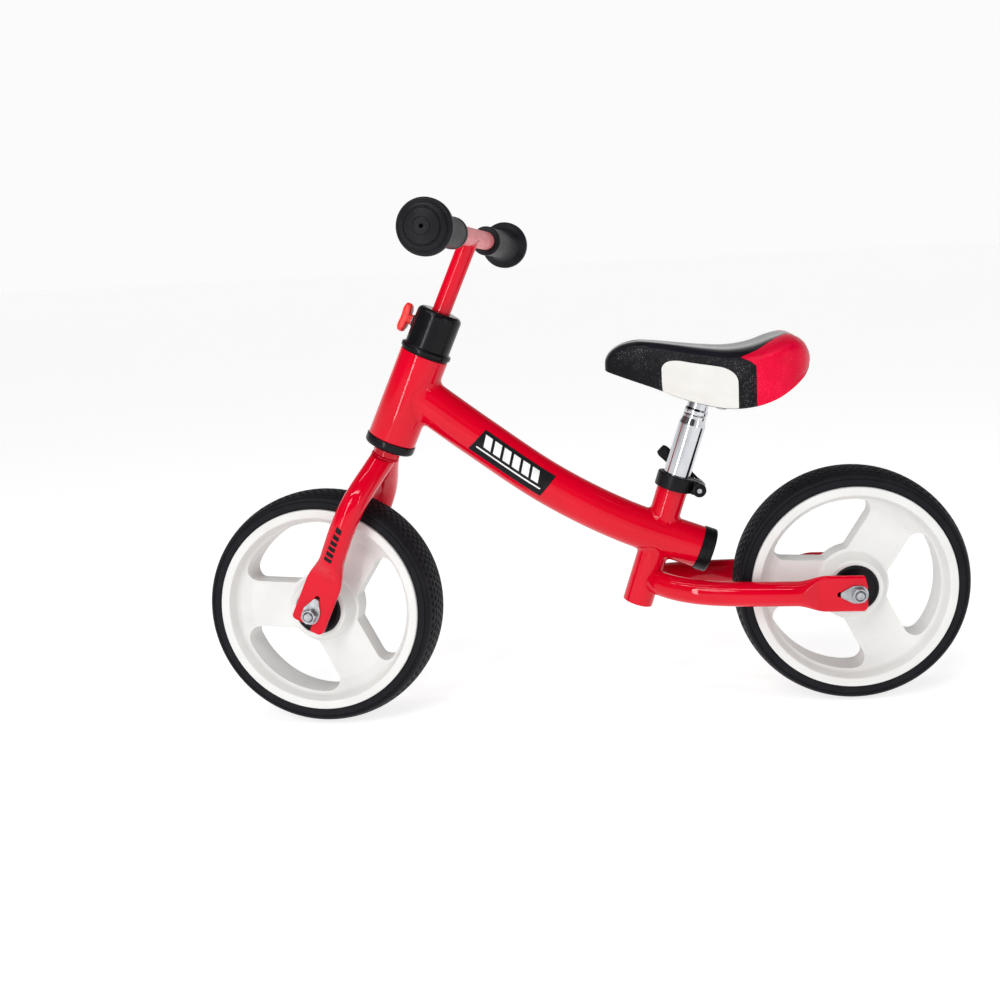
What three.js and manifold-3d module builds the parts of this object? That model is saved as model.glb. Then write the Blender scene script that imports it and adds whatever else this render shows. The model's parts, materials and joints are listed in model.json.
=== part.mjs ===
// A child's balance bike: two moulded wheels, a single bent main tube, an adjustable saddle and handlebar.
// Millimetres. +X points forwards, +Y to the rider's left, +Z up; the origin is on the ground, mid-bike.
import * as THREE from "three";
import { mergeVertices } from "three/addons/utils/BufferGeometryUtils.js";
import Module from "manifold-3d";

// Driving dimensions.
const WHEELBASE = 552.6;
const TYRE_R = 123;
const TYRE_HALF_W = 27.5;
const LIP_R = 106; // outer edge of the rim's flat lip
const RIM_HALF_W = 30;
const WEB_HALF_W = 12;
const HUB_R = 29.5;
const HUB_CAP_R = 24;
const SPOKE_W = 49;
const WINDOW_DEG = 63; // middle of the first of three windows, up from straight ahead
const AXLE_R = 4.75;
const AXLE_HALF = 59;
const HEAD_DEG = 25.4; // the head tube's lean, back from upright
const STEER_DEG = -7.3; // the fork and bars stand turned this far to the right
const HEAD_TUBE = { r: 25, bore: 22.6, from: 192.3, to: 286.7 }; // distances up the steering axis
const STEERER = { r: 12.7, bore: 9.75, from: 172, to: 326 };
const STEM = { r: 9.5, bore: 7.8, from: 216 };
const BAR_UP = 414.8; // front axle to crossbar, up the steering axis
const BAR_HALF = 162;
const GRIP = { from: 67, to: 174, r: 15.2, flange: 25.7 };
const KNOB_UP = 314.5;
const MAIN_TUBE = { r: 22.2, bore: 20 };
const SEAT_DEG = 19.2; // the seat tube's lean, back from upright
const SEAT_TOP = [-94.2, 230.6]; // where the seat tube's axis meets its collar, X and Z
const SEAT_TUBE = { r: 16, bore: 14.3, from: -127, to: 13 };
const POST = { r: 14, bore: 12.4, from: -100, neck: 70, to: 118 };
const CLAMP_BOLT = [-19, 108]; // behind the post and up the seat axis
const LEG = { r: 12.7, bore: 10.9, y: 47, plate: 18.8, thick: 3 };
const SKEWER = [-26, 8];
const GAP = 0.3;

const rad = THREE.MathUtils.degToRad;
const v2 = (x, y) => new THREE.Vector2(x, y);
const v3 = (x, y, z) => new THREE.Vector3(x, y, z);

const FINISHES = {
  red: [0xd8001c, 0.25, 0.1],
  orange: [0xe6281c, 0.35, 0],
  white: [0xf0f0ec, 0.35, 0],
  black: [0x141416, 0.4, 0],
  rubber: [0x18181b, 0.8, 0],
  chrome: [0xd6d8dc, 0.12, 1],
  steel: [0xb9bbbf, 0.35, 1],
  cover: [0x16161a, 0.45, 0],
};

// ---------------------------------------------------------------- solids and cuts
const wasm = await Module();
wasm.setup();

function solid(geometry) {
  const bare = new THREE.BufferGeometry();
  const loose = geometry.index ? geometry.toNonIndexed() : geometry;
  bare.setAttribute("position", loose.getAttribute("position"));
  const merged = mergeVertices(bare, 1e-4);
  const mesh = new wasm.Mesh({
    numProp: 3,
    vertProperties: merged.getAttribute("position").array,
    triVerts: new Uint32Array(merged.index.array),
  });
  return new wasm.Manifold(mesh);
}

function surface(manifold) {
  const { vertProperties, triVerts } = manifold.getMesh();
  const geometry = new THREE.BufferGeometry();
  geometry.setAttribute("position", new THREE.BufferAttribute(new Float32Array(vertProperties), 3));
  geometry.setIndex(new THREE.BufferAttribute(new Uint32Array(triVerts), 1));
  geometry.computeVertexNormals();
  return geometry;
}

const cut = (body, ...tools) => surface(tools.reduce((left, t) => left.subtract(solid(t)), solid(body)));
const join = (body, ...more) => surface(more.reduce((sum, m) => sum.add(solid(m)), solid(body)));
const within = (body, room) => surface(solid(body).intersect(solid(room)));

// ---------------------------------------------------------------- basic shapes
// A ring turned about Y from a closed outline of [radius, y] points, listed counter-clockwise.
function turned(outline, segments = 20) {
  const points = outline.map(([r, y]) => v2(r, y));
  return new THREE.LatheGeometry([...points, points[0].clone()], segments);
}

const turnedZ = (outline, segments) => turned(outline, segments).rotateX(Math.PI / 2);
const turnedX = (outline, segments) => turned(outline, segments).rotateZ(-Math.PI / 2);

// A plain bar on the Y axis between two heights.
function bar(r, from, to, segments = 20) {
  return new THREE.CylinderGeometry(r, r, to - from, segments).translate(0, (from + to) / 2, 0);
}

const tubeOutline = (bore, r, from, to) => [[bore, from], [r, from], [r, to], [bore, to]];

function block(x0, x1, y0, y1, z0, z1) {
  const box = new THREE.BoxGeometry(x1 - x0, y1 - y0, z1 - z0);
  return box.translate((x0 + x1) / 2, (y0 + y1) / 2, (z0 + z1) / 2);
}

// An outline of [x, y, corner radius] turned into points.
function rounded(corners, steps = 3) {
  return corners.flatMap(([x, y, r], i) => {
    const at = v2(x, y);
    if (!r) return [at];
    const [px, py] = corners[(i + corners.length - 1) % corners.length];
    const [nx, ny] = corners[(i + 1) % corners.length];
    const back = v2(px, py).sub(at).normalize();
    const ahead = v2(nx, ny).sub(at).normalize();
    const half = Math.acos(back.dot(ahead)) / 2;
    const centre = back.clone().add(ahead).setLength(r / Math.sin(half)).add(at);
    const start = back.multiplyScalar(r / Math.tan(half)).add(at).sub(centre);
    const end = ahead.multiplyScalar(r / Math.tan(half)).add(at).sub(centre);
    const turn = Math.atan2(start.cross(end), start.dot(end));
    return Array.from({ length: steps + 1 }, (_, k) =>
      start.clone().rotateAround(v2(0, 0), (turn * k) / steps).add(centre));
  });
}

const curve = (points) => points.map(([x, y, z]) => v3(x, y, z));

// An outline in X and Z, given thickness along Y.
function slab(points, y0, y1) {
  const flat = new THREE.ExtrudeGeometry(new THREE.Shape(points), { depth: y1 - y0, bevelEnabled: false });
  return flat.rotateX(Math.PI / 2).translate(0, y1, 0);
}

// A skin through equal rings of points, closed flat at both ends.
function loft(rings) {
  const n = rings[0].length;
  const centre = (ring) => ring.reduce((sum, p) => sum.add(p), v3(0, 0, 0)).divideScalar(n);
  const faces = [];
  for (let i = 0; i + 1 < rings.length; i++)
    for (let k = 0; k < n; k++) {
      const [a, b] = [rings[i][k], rings[i][(k + 1) % n]];
      const [c, d] = [rings[i + 1][k], rings[i + 1][(k + 1) % n]];
      faces.push(a, b, d, a, d, c);
    }
  const [first, last] = [rings[0], rings.at(-1)];
  const [start, end] = [centre(first), centre(last)];
  for (let k = 0; k < n; k++) {
    faces.push(start, first[(k + 1) % n], first[k]);
    faces.push(end, last[k], last[(k + 1) % n]);
  }
  return new THREE.BufferGeometry().setFromPoints(faces);
}

// Stadium-shaped sections, as tall as 2 * tall along `up` and 2 * thick across, at points of a path.
function sweep(stops, up, count = 16) {
  const rings = stops.map(({ at, tall, thick }, i) => {
    const before = stops[Math.max(0, i - 1)].at;
    const after = stops[Math.min(stops.length - 1, i + 1)].at;
    const along = after.clone().sub(before).normalize();
    const across = up.clone().cross(along).normalize();
    const lift = along.clone().cross(across);
    return Array.from({ length: count }, (_, k) => {
      const turn = ((k + 0.5) / count) * 2 * Math.PI;
      const level = Math.sign(Math.sin(turn)) * (tall - thick) + thick * Math.sin(turn);
      return at.clone().addScaledVector(across, thick * Math.cos(turn)).addScaledVector(lift, level);
    });
  });
  return loft(rings);
}

// Points along a smooth curve through the given ones, as round stops of one radius.
function roundStops(points, r, steps) {
  const line = new THREE.CatmullRomCurve3(points, false, "centripetal");
  return line.getSpacedPoints(steps).map((at) => ({ at, tall: r, thick: r }));
}

// ---------------------------------------------------------------- naming and placing
function piece(parent, name, geometry, finish) {
  const [color, roughness, metalness] = FINISHES[finish];
  const mesh = new THREE.Mesh(geometry, new THREE.MeshStandardMaterial({ color, roughness, metalness }));
  mesh.name = name;
  parent.add(mesh);
}

function place(parent, x, y, z, turnY = 0) {
  const group = new THREE.Group();
  group.position.set(x, y, z);
  group.rotation.y = turnY;
  parent.add(group);
  return group;
}

const bothSides = (make) => [["left", 1], ["right", -1]].forEach(([side, sign]) => make(side, sign));

// Turns a shape made for the left side over to the right, keeping its faces outwards.
function sided(geometry, sign) {
  if (sign > 0) return geometry;
  const flipped = geometry.index ? geometry.toNonIndexed() : geometry;
  flipped.scale(1, -1, 1);
  const p = flipped.getAttribute("position");
  for (let i = 0; i < p.count; i += 3)
    for (let axis = 0; axis < 3; axis++) {
      const kept = p.getComponent(i + 1, axis);
      p.setComponent(i + 1, axis, p.getComponent(i + 2, axis));
      p.setComponent(i + 2, axis, kept);
    }
  return flipped;
}

// ---------------------------------------------------------------- wheels
const mirrored = (half) => [...half.map(([r, y]) => [r, -y]).reverse(), ...half];

function tyre() {
  const seat = LIP_R - 3 + GAP;
  const half = [
    [TYRE_R, 9], [TYRE_R - 4, 24], [LIP_R + 8, TYRE_HALF_W],
    [LIP_R + GAP, TYRE_HALF_W], [LIP_R + GAP, 22.7], [seat, 22.7],
  ];
  return turned(mirrored(half), 40);
}

// One of the three openings, drawn about +X: between two parallel-sided spokes, hub and rim.
function windowOutline() {
  const [inner, outer, side] = [HUB_R + 8.5, 91, SPOKE_W / 2];
  const corner = (r) => v2(Math.sqrt(r * r - side * side), -side).rotateAround(v2(0, 0), rad(60));
  const [out, hub] = [corner(outer), corner(inner)];
  const arc = [-30, -15, 0, 15, 30].map((deg) => [outer * Math.cos(rad(deg)), outer * Math.sin(rad(deg)), 0]);
  return rounded([
    [out.x, -out.y, 11], ...arc, [out.x, out.y, 11], [hub.x, hub.y, 5], [inner, 0, 0], [hub.x, -hub.y, 5],
  ]);
}

function rim() {
  const half = [
    [LIP_R - 3, 23], [LIP_R, 23], [LIP_R, RIM_HALF_W], [97, RIM_HALF_W], [92, 17.5], [82, WEB_HALF_W],
    [HUB_R + 5, WEB_HALF_W], [HUB_R - 2, RIM_HALF_W - 0.5], [HUB_CAP_R + GAP, RIM_HALF_W - 0.5],
    [HUB_CAP_R + GAP, 27.2], [11.3, 27.2], [11.3, 18.7], [8, 18.7],
  ];
  const windows = [0, 120, 240].map((turn) =>
    slab(windowOutline(), -40, 40).rotateY(-rad(WINDOW_DEG + turn)));
  return cut(turned(mirrored(half), 30), ...windows);
}

function wheel(parent, name) {
  piece(parent, `${name}_tyre`, tyre(), "rubber");
  piece(parent, `${name}_rim`, rim(), "white");
  bothSides((side, sign) => {
    const edge = [[HUB_CAP_R, 27.5], [HUB_CAP_R, 30.2], [HUB_CAP_R - 1.2, 31.2]];
    const cap = turned([[6.2, 27.5], ...edge, [6.2, 31.2]]);
    const bearing = turned(tubeOutline(5.05, 11, 19, 26), 14);
    piece(parent, `${name}_hub_cap_${side}`, sided(cap, sign), "black");
    piece(parent, `${name}_bearing_${side}`, sided(bearing, sign), "steel");
  });
}

// The fixed axle and what is threaded on it; +X of `parent` runs from the axle up the blade.
function axleSet(parent, name) {
  piece(parent, `${name}_axle`, bar(AXLE_R, -AXLE_HALF, AXLE_HALF, 16), "steel");
  const plateFace = LEG.y + LEG.thick;
  bothSides((side, sign) => {
    const sleeve = [[5.05, 26.3], [5.9, 26.3], [5.9, 31.7], [8.5, 31.7], [8.5, 43.7], [5.05, 43.7]];
    piece(parent, `${name}_spacer_${side}`, sided(turned(sleeve, 12), sign), "steel");
    piece(parent, `${name}_tab_washer_${side}`, sided(tabWasher(plateFace + GAP), sign), "chrome");
    const hexagon = Array.from({ length: 6 }, (_, k) => v2(8.1, 0).rotateAround(v2(0, 0), rad(60 * k)));
    const nut = cut(slab(hexagon, plateFace + 2.2, plateFace + 7.8), bar(5.05, 0, 80, 16));
    piece(parent, `${name}_nut_${side}`, sided(nut, sign), "chrome");
  });
}

function tabWasher(face) {
  const outline = [
    [-9.2, -9.2, 9], [6, -9.2, 7], [18.6, -2.4, 1],
    [18.6, 2.4, 1], [6, 9.2, 7], [-9.2, 9.2, 9],
  ];
  const tab = block(17, 18.6, face - 4, face + 1, -1.4, 1.4);
  return cut(join(slab(rounded(outline), face, face + 1.6), tab), bar(5.05, 0, 80, 16));
}

// What opens a flattened blade end: an open-ended axle slot along -X and a hole for the washer's tab.
function dropoutTools() {
  const slot = block(-60, 0, LEG.y - 12, LEG.y + 12, -5.05, 5.05);
  const round = bar(5.05, LEG.y - 12, LEG.y + 12, 16);
  const tabHole = bar(3, LEG.y - 12, LEG.y + 12, 12).translate(19.2, 0, 0);
  return [slot, round, tabHole];
}

// A blade's last stretch: the tube is squashed to a plate with clipped corners.
function flattened(points) {
  const { r, plate, thick } = LEG;
  const sizes = [[r, r], [14, 10.5], [17.2, 5.5], [plate, thick], [plate, thick], [12, thick]];
  return points.map((at, i) => ({ at, tall: sizes[i][0], thick: sizes[i][1] }));
}

// ---------------------------------------------------------------- fork and steering
function forkLeg() {
  const up = (s, y = LEG.y) => v3(0, y, s);
  const arch = [[177, 0], [158, 20], [140, 39], [123, 51], [102, 55.5], [82, 53.5]];
  const bend = arch.map(([s, y]) => up(s, y));
  const flat = flattened([up(64, 50), up(56, 48), up(46, 47.2), up(34), up(-9), up(-15.5)]);
  const forwards = v3(1, 0, 0);
  const skin = sweep([...roundStops(bend, LEG.r, 8), ...flat], forwards);
  const core = sweep(roundStops([up(184, -6), ...bend], LEG.bore, 6), forwards, 8);
  const openings = dropoutTools().map((tool) => tool.rotateY(-Math.PI / 2));
  const otherSide = block(-40, 40, -80, GAP / 2, -60, 260);
  const crown = block(-40, 40, -80, 80, STEERER.from - GAP, 260);
  const frontLobe = block(AXLE_R, 40, 0, 80, -60, -10.5);
  return cut(skin, core, otherSide, crown, frontLobe, ...openings);
}

function steerer() {
  const tube = turnedZ(tubeOutline(STEERER.bore, STEERER.r, STEERER.from, STEERER.to));
  return cut(tube, screwHole());
}

const screwHole = () => bar(3.3, 5, 40, 12).rotateZ(-Math.PI / 2).translate(0, 0, KNOB_UP);

function collar() {
  const [low, top, bore] = [HEAD_TUBE.to + 2.3, 334, STEERER.r + 0.25];
  const outline = [
    [bore, low], [26.3, low], [26.3, low + 4], [23.4, low + 5.5], [23.2, top - 9], [21.7, top - 3.5],
    [17.5, top], [STEERER.bore, top], [STEERER.bore, STEERER.to + GAP], [bore, STEERER.to + GAP],
  ];
  return cut(turnedZ(outline), screwHole());
}

function knob() {
  const wing = [
    [-14.5, 0, 3], [-13, 5.5, 4], [-5, 5.6, 3], [0, 4.6, 0], [5, 5.6, 3], [13, 5.5, 4],
    [14.5, 0, 3], [13, -5.5, 4], [5, -5.6, 3], [0, -4.6, 0], [-5, -5.6, 3], [-13, -5.5, 4],
  ];
  const shape = new THREE.Shape(rounded(wing, 2));
  const soft = { depth: 5.5, bevelEnabled: true, bevelSize: 1.4, bevelThickness: 1.5, bevelSegments: 2 };
  const wings = new THREE.ExtrudeGeometry(shape, soft).rotateY(Math.PI / 2).translate(29.5, 0, 0);
  const hub = turnedX([[0, 24.3], [5, 24.3], [5.6, 31], [0, 31]], 12);
  return cut(join(wings, hub), bar(3.2, 20, 34, 12).rotateZ(-Math.PI / 2)).translate(0, 0, KNOB_UP);
}

function steering(parent) {
  piece(parent, "steerer_tube", steerer(), "red");
  bothSides((side, sign) => piece(parent, `fork_leg_${side}`, sided(forkLeg(), sign), "red"));
  piece(parent, "steering_collar", collar(), "black");
  piece(parent, "clamp_knob", knob(), "orange");
  const screw = bar(2.9, STEM.r + 0.4, 33.5, 12).rotateZ(-Math.PI / 2);
  piece(parent, "clamp_screw", screw.translate(0, 0, KNOB_UP), "steel");
}

function handlebar(parent) {
  const crossbar = turned(tubeOutline(STEM.bore, STEM.r, -BAR_HALF, BAR_HALF));
  piece(parent, "crossbar", crossbar.translate(0, 0, BAR_UP), "red");
  const post = turnedZ(tubeOutline(STEM.bore, STEM.r, STEM.from, BAR_UP));
  piece(parent, "handlebar_stem", cut(post, bar(STEM.r + GAP, -40, 40).translate(0, 0, BAR_UP)), "red");
  const end = BAR_HALF + 0.6;
  const hole = STEM.r + 0.25;
  const outline = [
    [hole, GRIP.from], [GRIP.r, GRIP.from], [GRIP.r, 138], [18, 153], [GRIP.flange, 159],
    [GRIP.flange, 164], [22, 168], [13, 172.5], [1.6, GRIP.to], [1.6, end], [hole, end],
  ];
  bothSides((side, sign) =>
    piece(parent, `grip_${side}`, sided(turned(outline), sign).translate(0, 0, BAR_UP), "rubber"));
}

function headset(parent) {
  const { r, bore, from, to } = HEAD_TUBE;
  piece(parent, "head_tube", turnedZ(tubeOutline(bore, r, from, to), 28), "red");
  const hole = STEERER.r + 0.25;
  const plug = bore - GAP;
  const cup = [
    [hole, 181], [17.5, 181], [22.5, 182], [25.2, 184.5], [26, 188],
    [26, from - GAP], [plug, from - GAP], [plug, from + 15], [hole, from + 15],
  ];
  piece(parent, "lower_headset_cup", turnedZ(cup), "black");
  const bush = [
    [hole, to - 16], [plug, to - 16], [plug, to + GAP], [24.6, to + GAP], [24.6, to + 2], [hole, to + 2],
  ];
  piece(parent, "upper_headset_bush", turnedZ(bush), "black");
}

// ---------------------------------------------------------------- frame
function mainTubePoints() {
  return curve([[168, 0, 346], [101.3, 0, 292.6], [30.4, 0, 239.6], [-40.4, 0, 199.4], [-118.9, 0, 167.2]]);
}

// Moves a shape made about Z at the origin onto the head tube's or the seat tube's axis.
const onHeadAxis = (geometry) => geometry.rotateY(-rad(HEAD_DEG)).translate(WHEELBASE / 2, 0, TYRE_R);
const onSeatAxis = (geometry) => geometry.rotateY(-rad(SEAT_DEG)).translate(SEAT_TOP[0], 0, SEAT_TOP[1]);
const upright = (r, from, to, segments) => bar(r, from, to, segments).rotateX(Math.PI / 2);

function mainTube() {
  const sideways = v3(0, 1, 0);
  const skin = sweep(roundStops(mainTubePoints(), MAIN_TUBE.r, 9), sideways, 20);
  const beyond = [...mainTubePoints(), v3(-150, 0, 155)];
  const core = sweep(roundStops(beyond, MAIN_TUBE.bore, 8), sideways, 12);
  const headTubeRoom = onHeadAxis(upright(HEAD_TUBE.r + GAP, 150, 400, 32));
  const seatTubeRoom = onSeatAxis(upright(SEAT_TUBE.r + GAP, -150, 150, 28));
  return cut(skin, core, headTubeRoom, seatTubeRoom);
}

function mainTubeCap() {
  const outline = [
    [0, -14], [MAIN_TUBE.bore - 2, -14], [MAIN_TUBE.bore - 2, GAP], [23.2, GAP],
    [23.2, 11.5], [21, 13.6], [0, 14],
  ];
  const [before, end] = roundStops(mainTubePoints(), 1, 9).slice(-2).map(({ at }) => at);
  const lean = Math.atan2(before.z - end.z, end.x - before.x);
  return turnedX(outline).rotateY(lean).translate(end.x, 0, end.z);
}

function seatTube() {
  const { bore, r, from, to } = SEAT_TUBE;
  return cut(turnedZ(tubeOutline(bore, r, from, to)), block(-30, -5, -1.5, 1.5, -18, 30));
}

function chainstay() {
  const bend = curve([
    [-67, 0, 134.5], [-78, 16, 133], [-97, 30, 130.5],
    [-122, 39.5, 128.4], [-155, 44.5, 126.9], [-205, LEG.y, 125.6],
  ]);
  const low = [[-215, 125.2], [-223, 124.8], [-233, 124.4], [-243, 124], [-279, 122.8], [-284.5, 122.6]];
  const flat = flattened(low.map(([x, z]) => v3(x, LEG.y, z)));
  const upwards = v3(0, 0, 1);
  const skin = sweep([...roundStops(bend, LEG.r, 6), ...flat], upwards);
  const core = sweep(roundStops([v3(-62, -12, 137), ...bend], LEG.bore, 6), upwards, 8);
  const openings = dropoutTools().map((tool) => tool.translate(-WHEELBASE / 2, 0, TYRE_R));
  const seatTubeRoom = onSeatAxis(upright(SEAT_TUBE.r + GAP, -180, 60, 28));
  const otherSide = block(-110, 0, -60, GAP / 2, 80, 180);
  return cut(skin, core, seatTubeRoom, otherSide, ...openings);
}

function frame(parent) {
  piece(parent, "main_tube", mainTube(), "red");
  piece(parent, "main_tube_cap", mainTubeCap(), "black");
  bothSides((side, sign) => piece(parent, `chainstay_${side}`, sided(chainstay(), sign), "red"));
}

// ---------------------------------------------------------------- seat tube collar and its lever
function seatCollar() {
  const { r, to } = SEAT_TUBE;
  const hole = POST.r + GAP;
  const ring = turnedZ([
    [r + GAP, 0.5], [19.6, 0.5], [19.6, 13.5], [18.4, 15.5],
    [hole, 15.5], [hole, to + GAP], [r + GAP, to + GAP],
  ]);
  const [x, z] = SKEWER;
  const back = x - 7;
  const ear = slab(rounded([[-17, z - 7, 0], [-17, z + 7, 0], [back, z + 7, 6.5], [back, z - 7, 6.5]]), -9, 9);
  const bore = upright(r + GAP, -2, to + GAP);
  const slit = block(-40, -10, -1.5, 1.5, -5, 30);
  const skewerHole = bar(2.8, -20, 20, 12).translate(x, 0, z);
  return cut(join(ring, ear), bore, upright(hole, 10, 30), slit, skewerHole);
}

// The lever's own frame: its pin along Z, its arm along +X, and the skewer along Y.
function leverArm() {
  const path = [[0, -2.6], [10, -6], [22, -9.4], [54, -11.5]];
  const outline = [
    ...path.map(([x, y]) => [x, y + 1.7, 0]),
    ...path.reverse().map(([x, y], i) => [x, y - 1.7, i === 0 ? 1.2 : 0]),
  ];
  const flat = { depth: 12.4, bevelEnabled: false };
  const arm = new THREE.ExtrudeGeometry(new THREE.Shape(rounded(outline)), flat);
  const cheek = (z) => upright(5.8, 2.9, 6.2, 16).translate(0, 0, z);
  const body = join(arm.translate(0, 0, -6.2), cheek(0), cheek(-9.1));
  const eyeRoom = join(block(-8, 7.5, -8, 8, -2.9, 2.9), block(-6.4, 6.4, -20, 0, -2.9, 2.9));
  return cut(body, eyeRoom, upright(2.2, -20, 20, 12));
}

function skewer() {
  const [x, z] = SKEWER;
  const eye = upright(4.8, -2.5, 2.5, 16).rotateY(-leverTilt()).translate(x, -15.4, z);
  const rod = bar(2.5, -12, 17, 12).translate(x, 0, z);
  const pinHole = upright(2.2, -20, 20, 12).rotateY(-leverTilt()).translate(x, -15.4, z);
  return cut(join(rod, eye), pinHole);
}

const leverTilt = () => rad(27);

function seatCollarSet(parent) {
  piece(parent, "seat_tube", seatTube(), "red");
  piece(parent, "seat_collar", seatCollar(), "black");
  piece(parent, "collar_skewer", skewer(), "steel");
  const [x, z] = SKEWER;
  const nut = turned([[2.8, 9.3], [7.2, 9.3], [7.2, 13.5], [6, 15.2], [2.8, 15.2]], 16);
  piece(parent, "collar_skewer_nut", nut.translate(x, 0, z), "black");
  const pin = place(parent, x, -15.4, z, -leverTilt());
  piece(pin, "collar_lever", leverArm(), "black");
  piece(pin, "collar_lever_pin", upright(1.9, -6.4, 6.4, 12), "steel");
}

// ---------------------------------------------------------------- seat post and saddle
function seatPost() {
  const { r, bore, from, neck, to } = POST;
  const outline = [
    [bore, from], [r, from], [r, neck], [12.3, neck + 8], [12.3, neck + 11], [11.6, neck + 12],
    [12.3, neck + 13], [12.3, neck + 16], [11.1, neck + 18], [11.1, to], [9.6, to], [9.6, neck + 6],
    [bore, neck - 4],
  ];
  return turnedZ(outline);
}

function saddleClamp() {
  const [x, z] = CLAMP_BOLT;
  const ring = turnedZ(tubeOutline(11.4, 16, POST.to - 22, POST.to - 0.5));
  const barrel = join(bar(9, -15, 15, 16).translate(x, 0, z), block(x, -8, -10, 10, z - 9, z + 9));
  return cut(join(ring, barrel), upright(11.4, 80, 140), bar(4.3, -40, 40, 12).translate(x, 0, z));
}

function seatPostSet(parent) {
  piece(parent, "seat_post", seatPost(), "chrome");
  piece(parent, "saddle_clamp", saddleClamp(), "steel");
}

// Saddle stations from nose to tail: X, half width, top, height of the rolled edge, bottom of the skirt.
const SADDLE = [
  [-30, 6, 364, 361, 357], [-34, 13, 373, 366, 355], [-43, 19, 381, 373, 351.5], [-58, 24, 385.5, 378, 346],
  [-80, 30, 383.5, 375, 338], [-105, 39, 380, 370, 328], [-130, 49, 376.5, 366, 321],
  [-155, 58, 374.5, 363, 317.5], [-180, 64, 377.5, 364, 320], [-199, 65, 384, 368, 326.5],
  [-214, 60, 387, 369, 335.5], [-226.5, 48, 381, 366, 345], [-234, 30, 371, 361, 352],
  [-237, 10, 361, 357.5, 355.5],
];

// The saddle drawn in by `side` at its flanks, `down` at its top and `ends` at nose and tail.
// Its skirt ends `hem` above the true one.
function saddleForm(side, down, ends, hem, count = 7) {
  const [nose, tail] = [SADDLE[0][0], SADDLE.at(-1)[0]];
  const rings = SADDLE.map(([x, half, top, edge, low]) => {
    const at = THREE.MathUtils.mapLinear(x, tail, nose, tail + ends, nose - ends);
    const w = Math.max(half - side, 5 - side * 0.4);
    const crest = Math.max(top - down, low + 5 - down * 0.2);
    const roll = Math.min(edge - down * 0.6, crest - 1);
    const tuck = Math.max(w - 3, w * 0.7);
    const dome = Array.from({ length: count }, (_, k) => {
      const turn = (k / (count - 1)) * Math.PI;
      return v3(at, -w * Math.cos(turn), roll + (crest - roll) * Math.sin(turn));
    });
    return [v3(at, -tuck, low + hem), ...dome, v3(at, tuck, low + hem)];
  });
  return loft(rings);
}

function rail(r, steps = 11) {
  const path = curve([
    [-66, 9, 375], [-76, 11, 352], [-92, 17, 340], [-112, 21, 336],
    [-160, 21, 335], [-182, 25, 343], [-198, 30, 372],
  ]);
  return sweep(roundStops(path, r, steps), v3(0, 1, 0), 8);
}

function saddle(parent) {
  piece(parent, "saddle_pad", cut(saddleForm(0, 0, 0, 0, 9), saddleForm(8, 14, 9, -20)), "cover");
  piece(parent, "saddle_pan", cut(saddleForm(9, 15, 9.3, 0.5), saddleForm(11.5, 17.5, 12, -20)), "black");
  bothSides((side, sign) => {
    const trimmed = within(rail(3.4), saddleForm(11.8, 17.8, 12.3, -20));
    piece(parent, `saddle_rail_${side}`, sided(trimmed, sign), "steel");
  });
}

// The parts of the clamp that tilt with the saddle, in the seat tube's frame.
function saddleCheeks(parent) {
  const [x, z] = CLAMP_BOLT;
  piece(parent, "saddle_clamp_bolt", bar(4, -31, 31, 12).translate(x, 0, z), "steel");
  bothSides((side, sign) => {
    const groove = rail(3.8).translate(-SEAT_TOP[0], 0, -SEAT_TOP[1]).rotateY(rad(SEAT_DEG));
    const cheek = cut(turned(tubeOutline(4.3, 12.5, 15.4, 26.5), 16).translate(x, 0, z), groove);
    piece(parent, `saddle_clamp_cheek_${side}`, sided(cheek, sign), "steel");
  });
}

// ---------------------------------------------------------------- the whole bike
function bike() {
  const root = new THREE.Group();
  root.name = "balance_bike";
  frame(root);

  const head = place(root, WHEELBASE / 2, 0, TYRE_R, -rad(HEAD_DEG));
  headset(head);
  const turning = new THREE.Group();
  turning.rotation.z = rad(STEER_DEG);
  head.add(turning);
  steering(turning);
  handlebar(turning);
  wheel(place(turning, 0, 0, 0, rad(HEAD_DEG)), "front");
  axleSet(place(turning, 0, 0, 0, -Math.PI / 2), "front");

  const seat = place(root, SEAT_TOP[0], 0, SEAT_TOP[1], -rad(SEAT_DEG));
  seatCollarSet(seat);
  seatPostSet(seat);
  saddleCheeks(seat);
  saddle(root);

  const rear = place(root, -WHEELBASE / 2, 0, TYRE_R);
  wheel(rear, "rear");
  axleSet(rear, "rear");

  root.updateMatrixWorld(true);
  const box = new THREE.Box3().setFromObject(root, true);
  root.position.set(-(box.min.x + box.max.x) / 2, 0, -box.min.z);
  return root;
}

export default bike();
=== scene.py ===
"""A child's balance bike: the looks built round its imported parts.

Shapes are in millimetres in the part's own frames (bike, steering, wheel, seat).
They become metres as each mesh is made.
"""

import json
import math

import bmesh
import bpy
import numpy as np
from mathutils import Matrix, Vector
from mathutils.bvhtree import BVHTree
from numpy.linalg import norm


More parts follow.
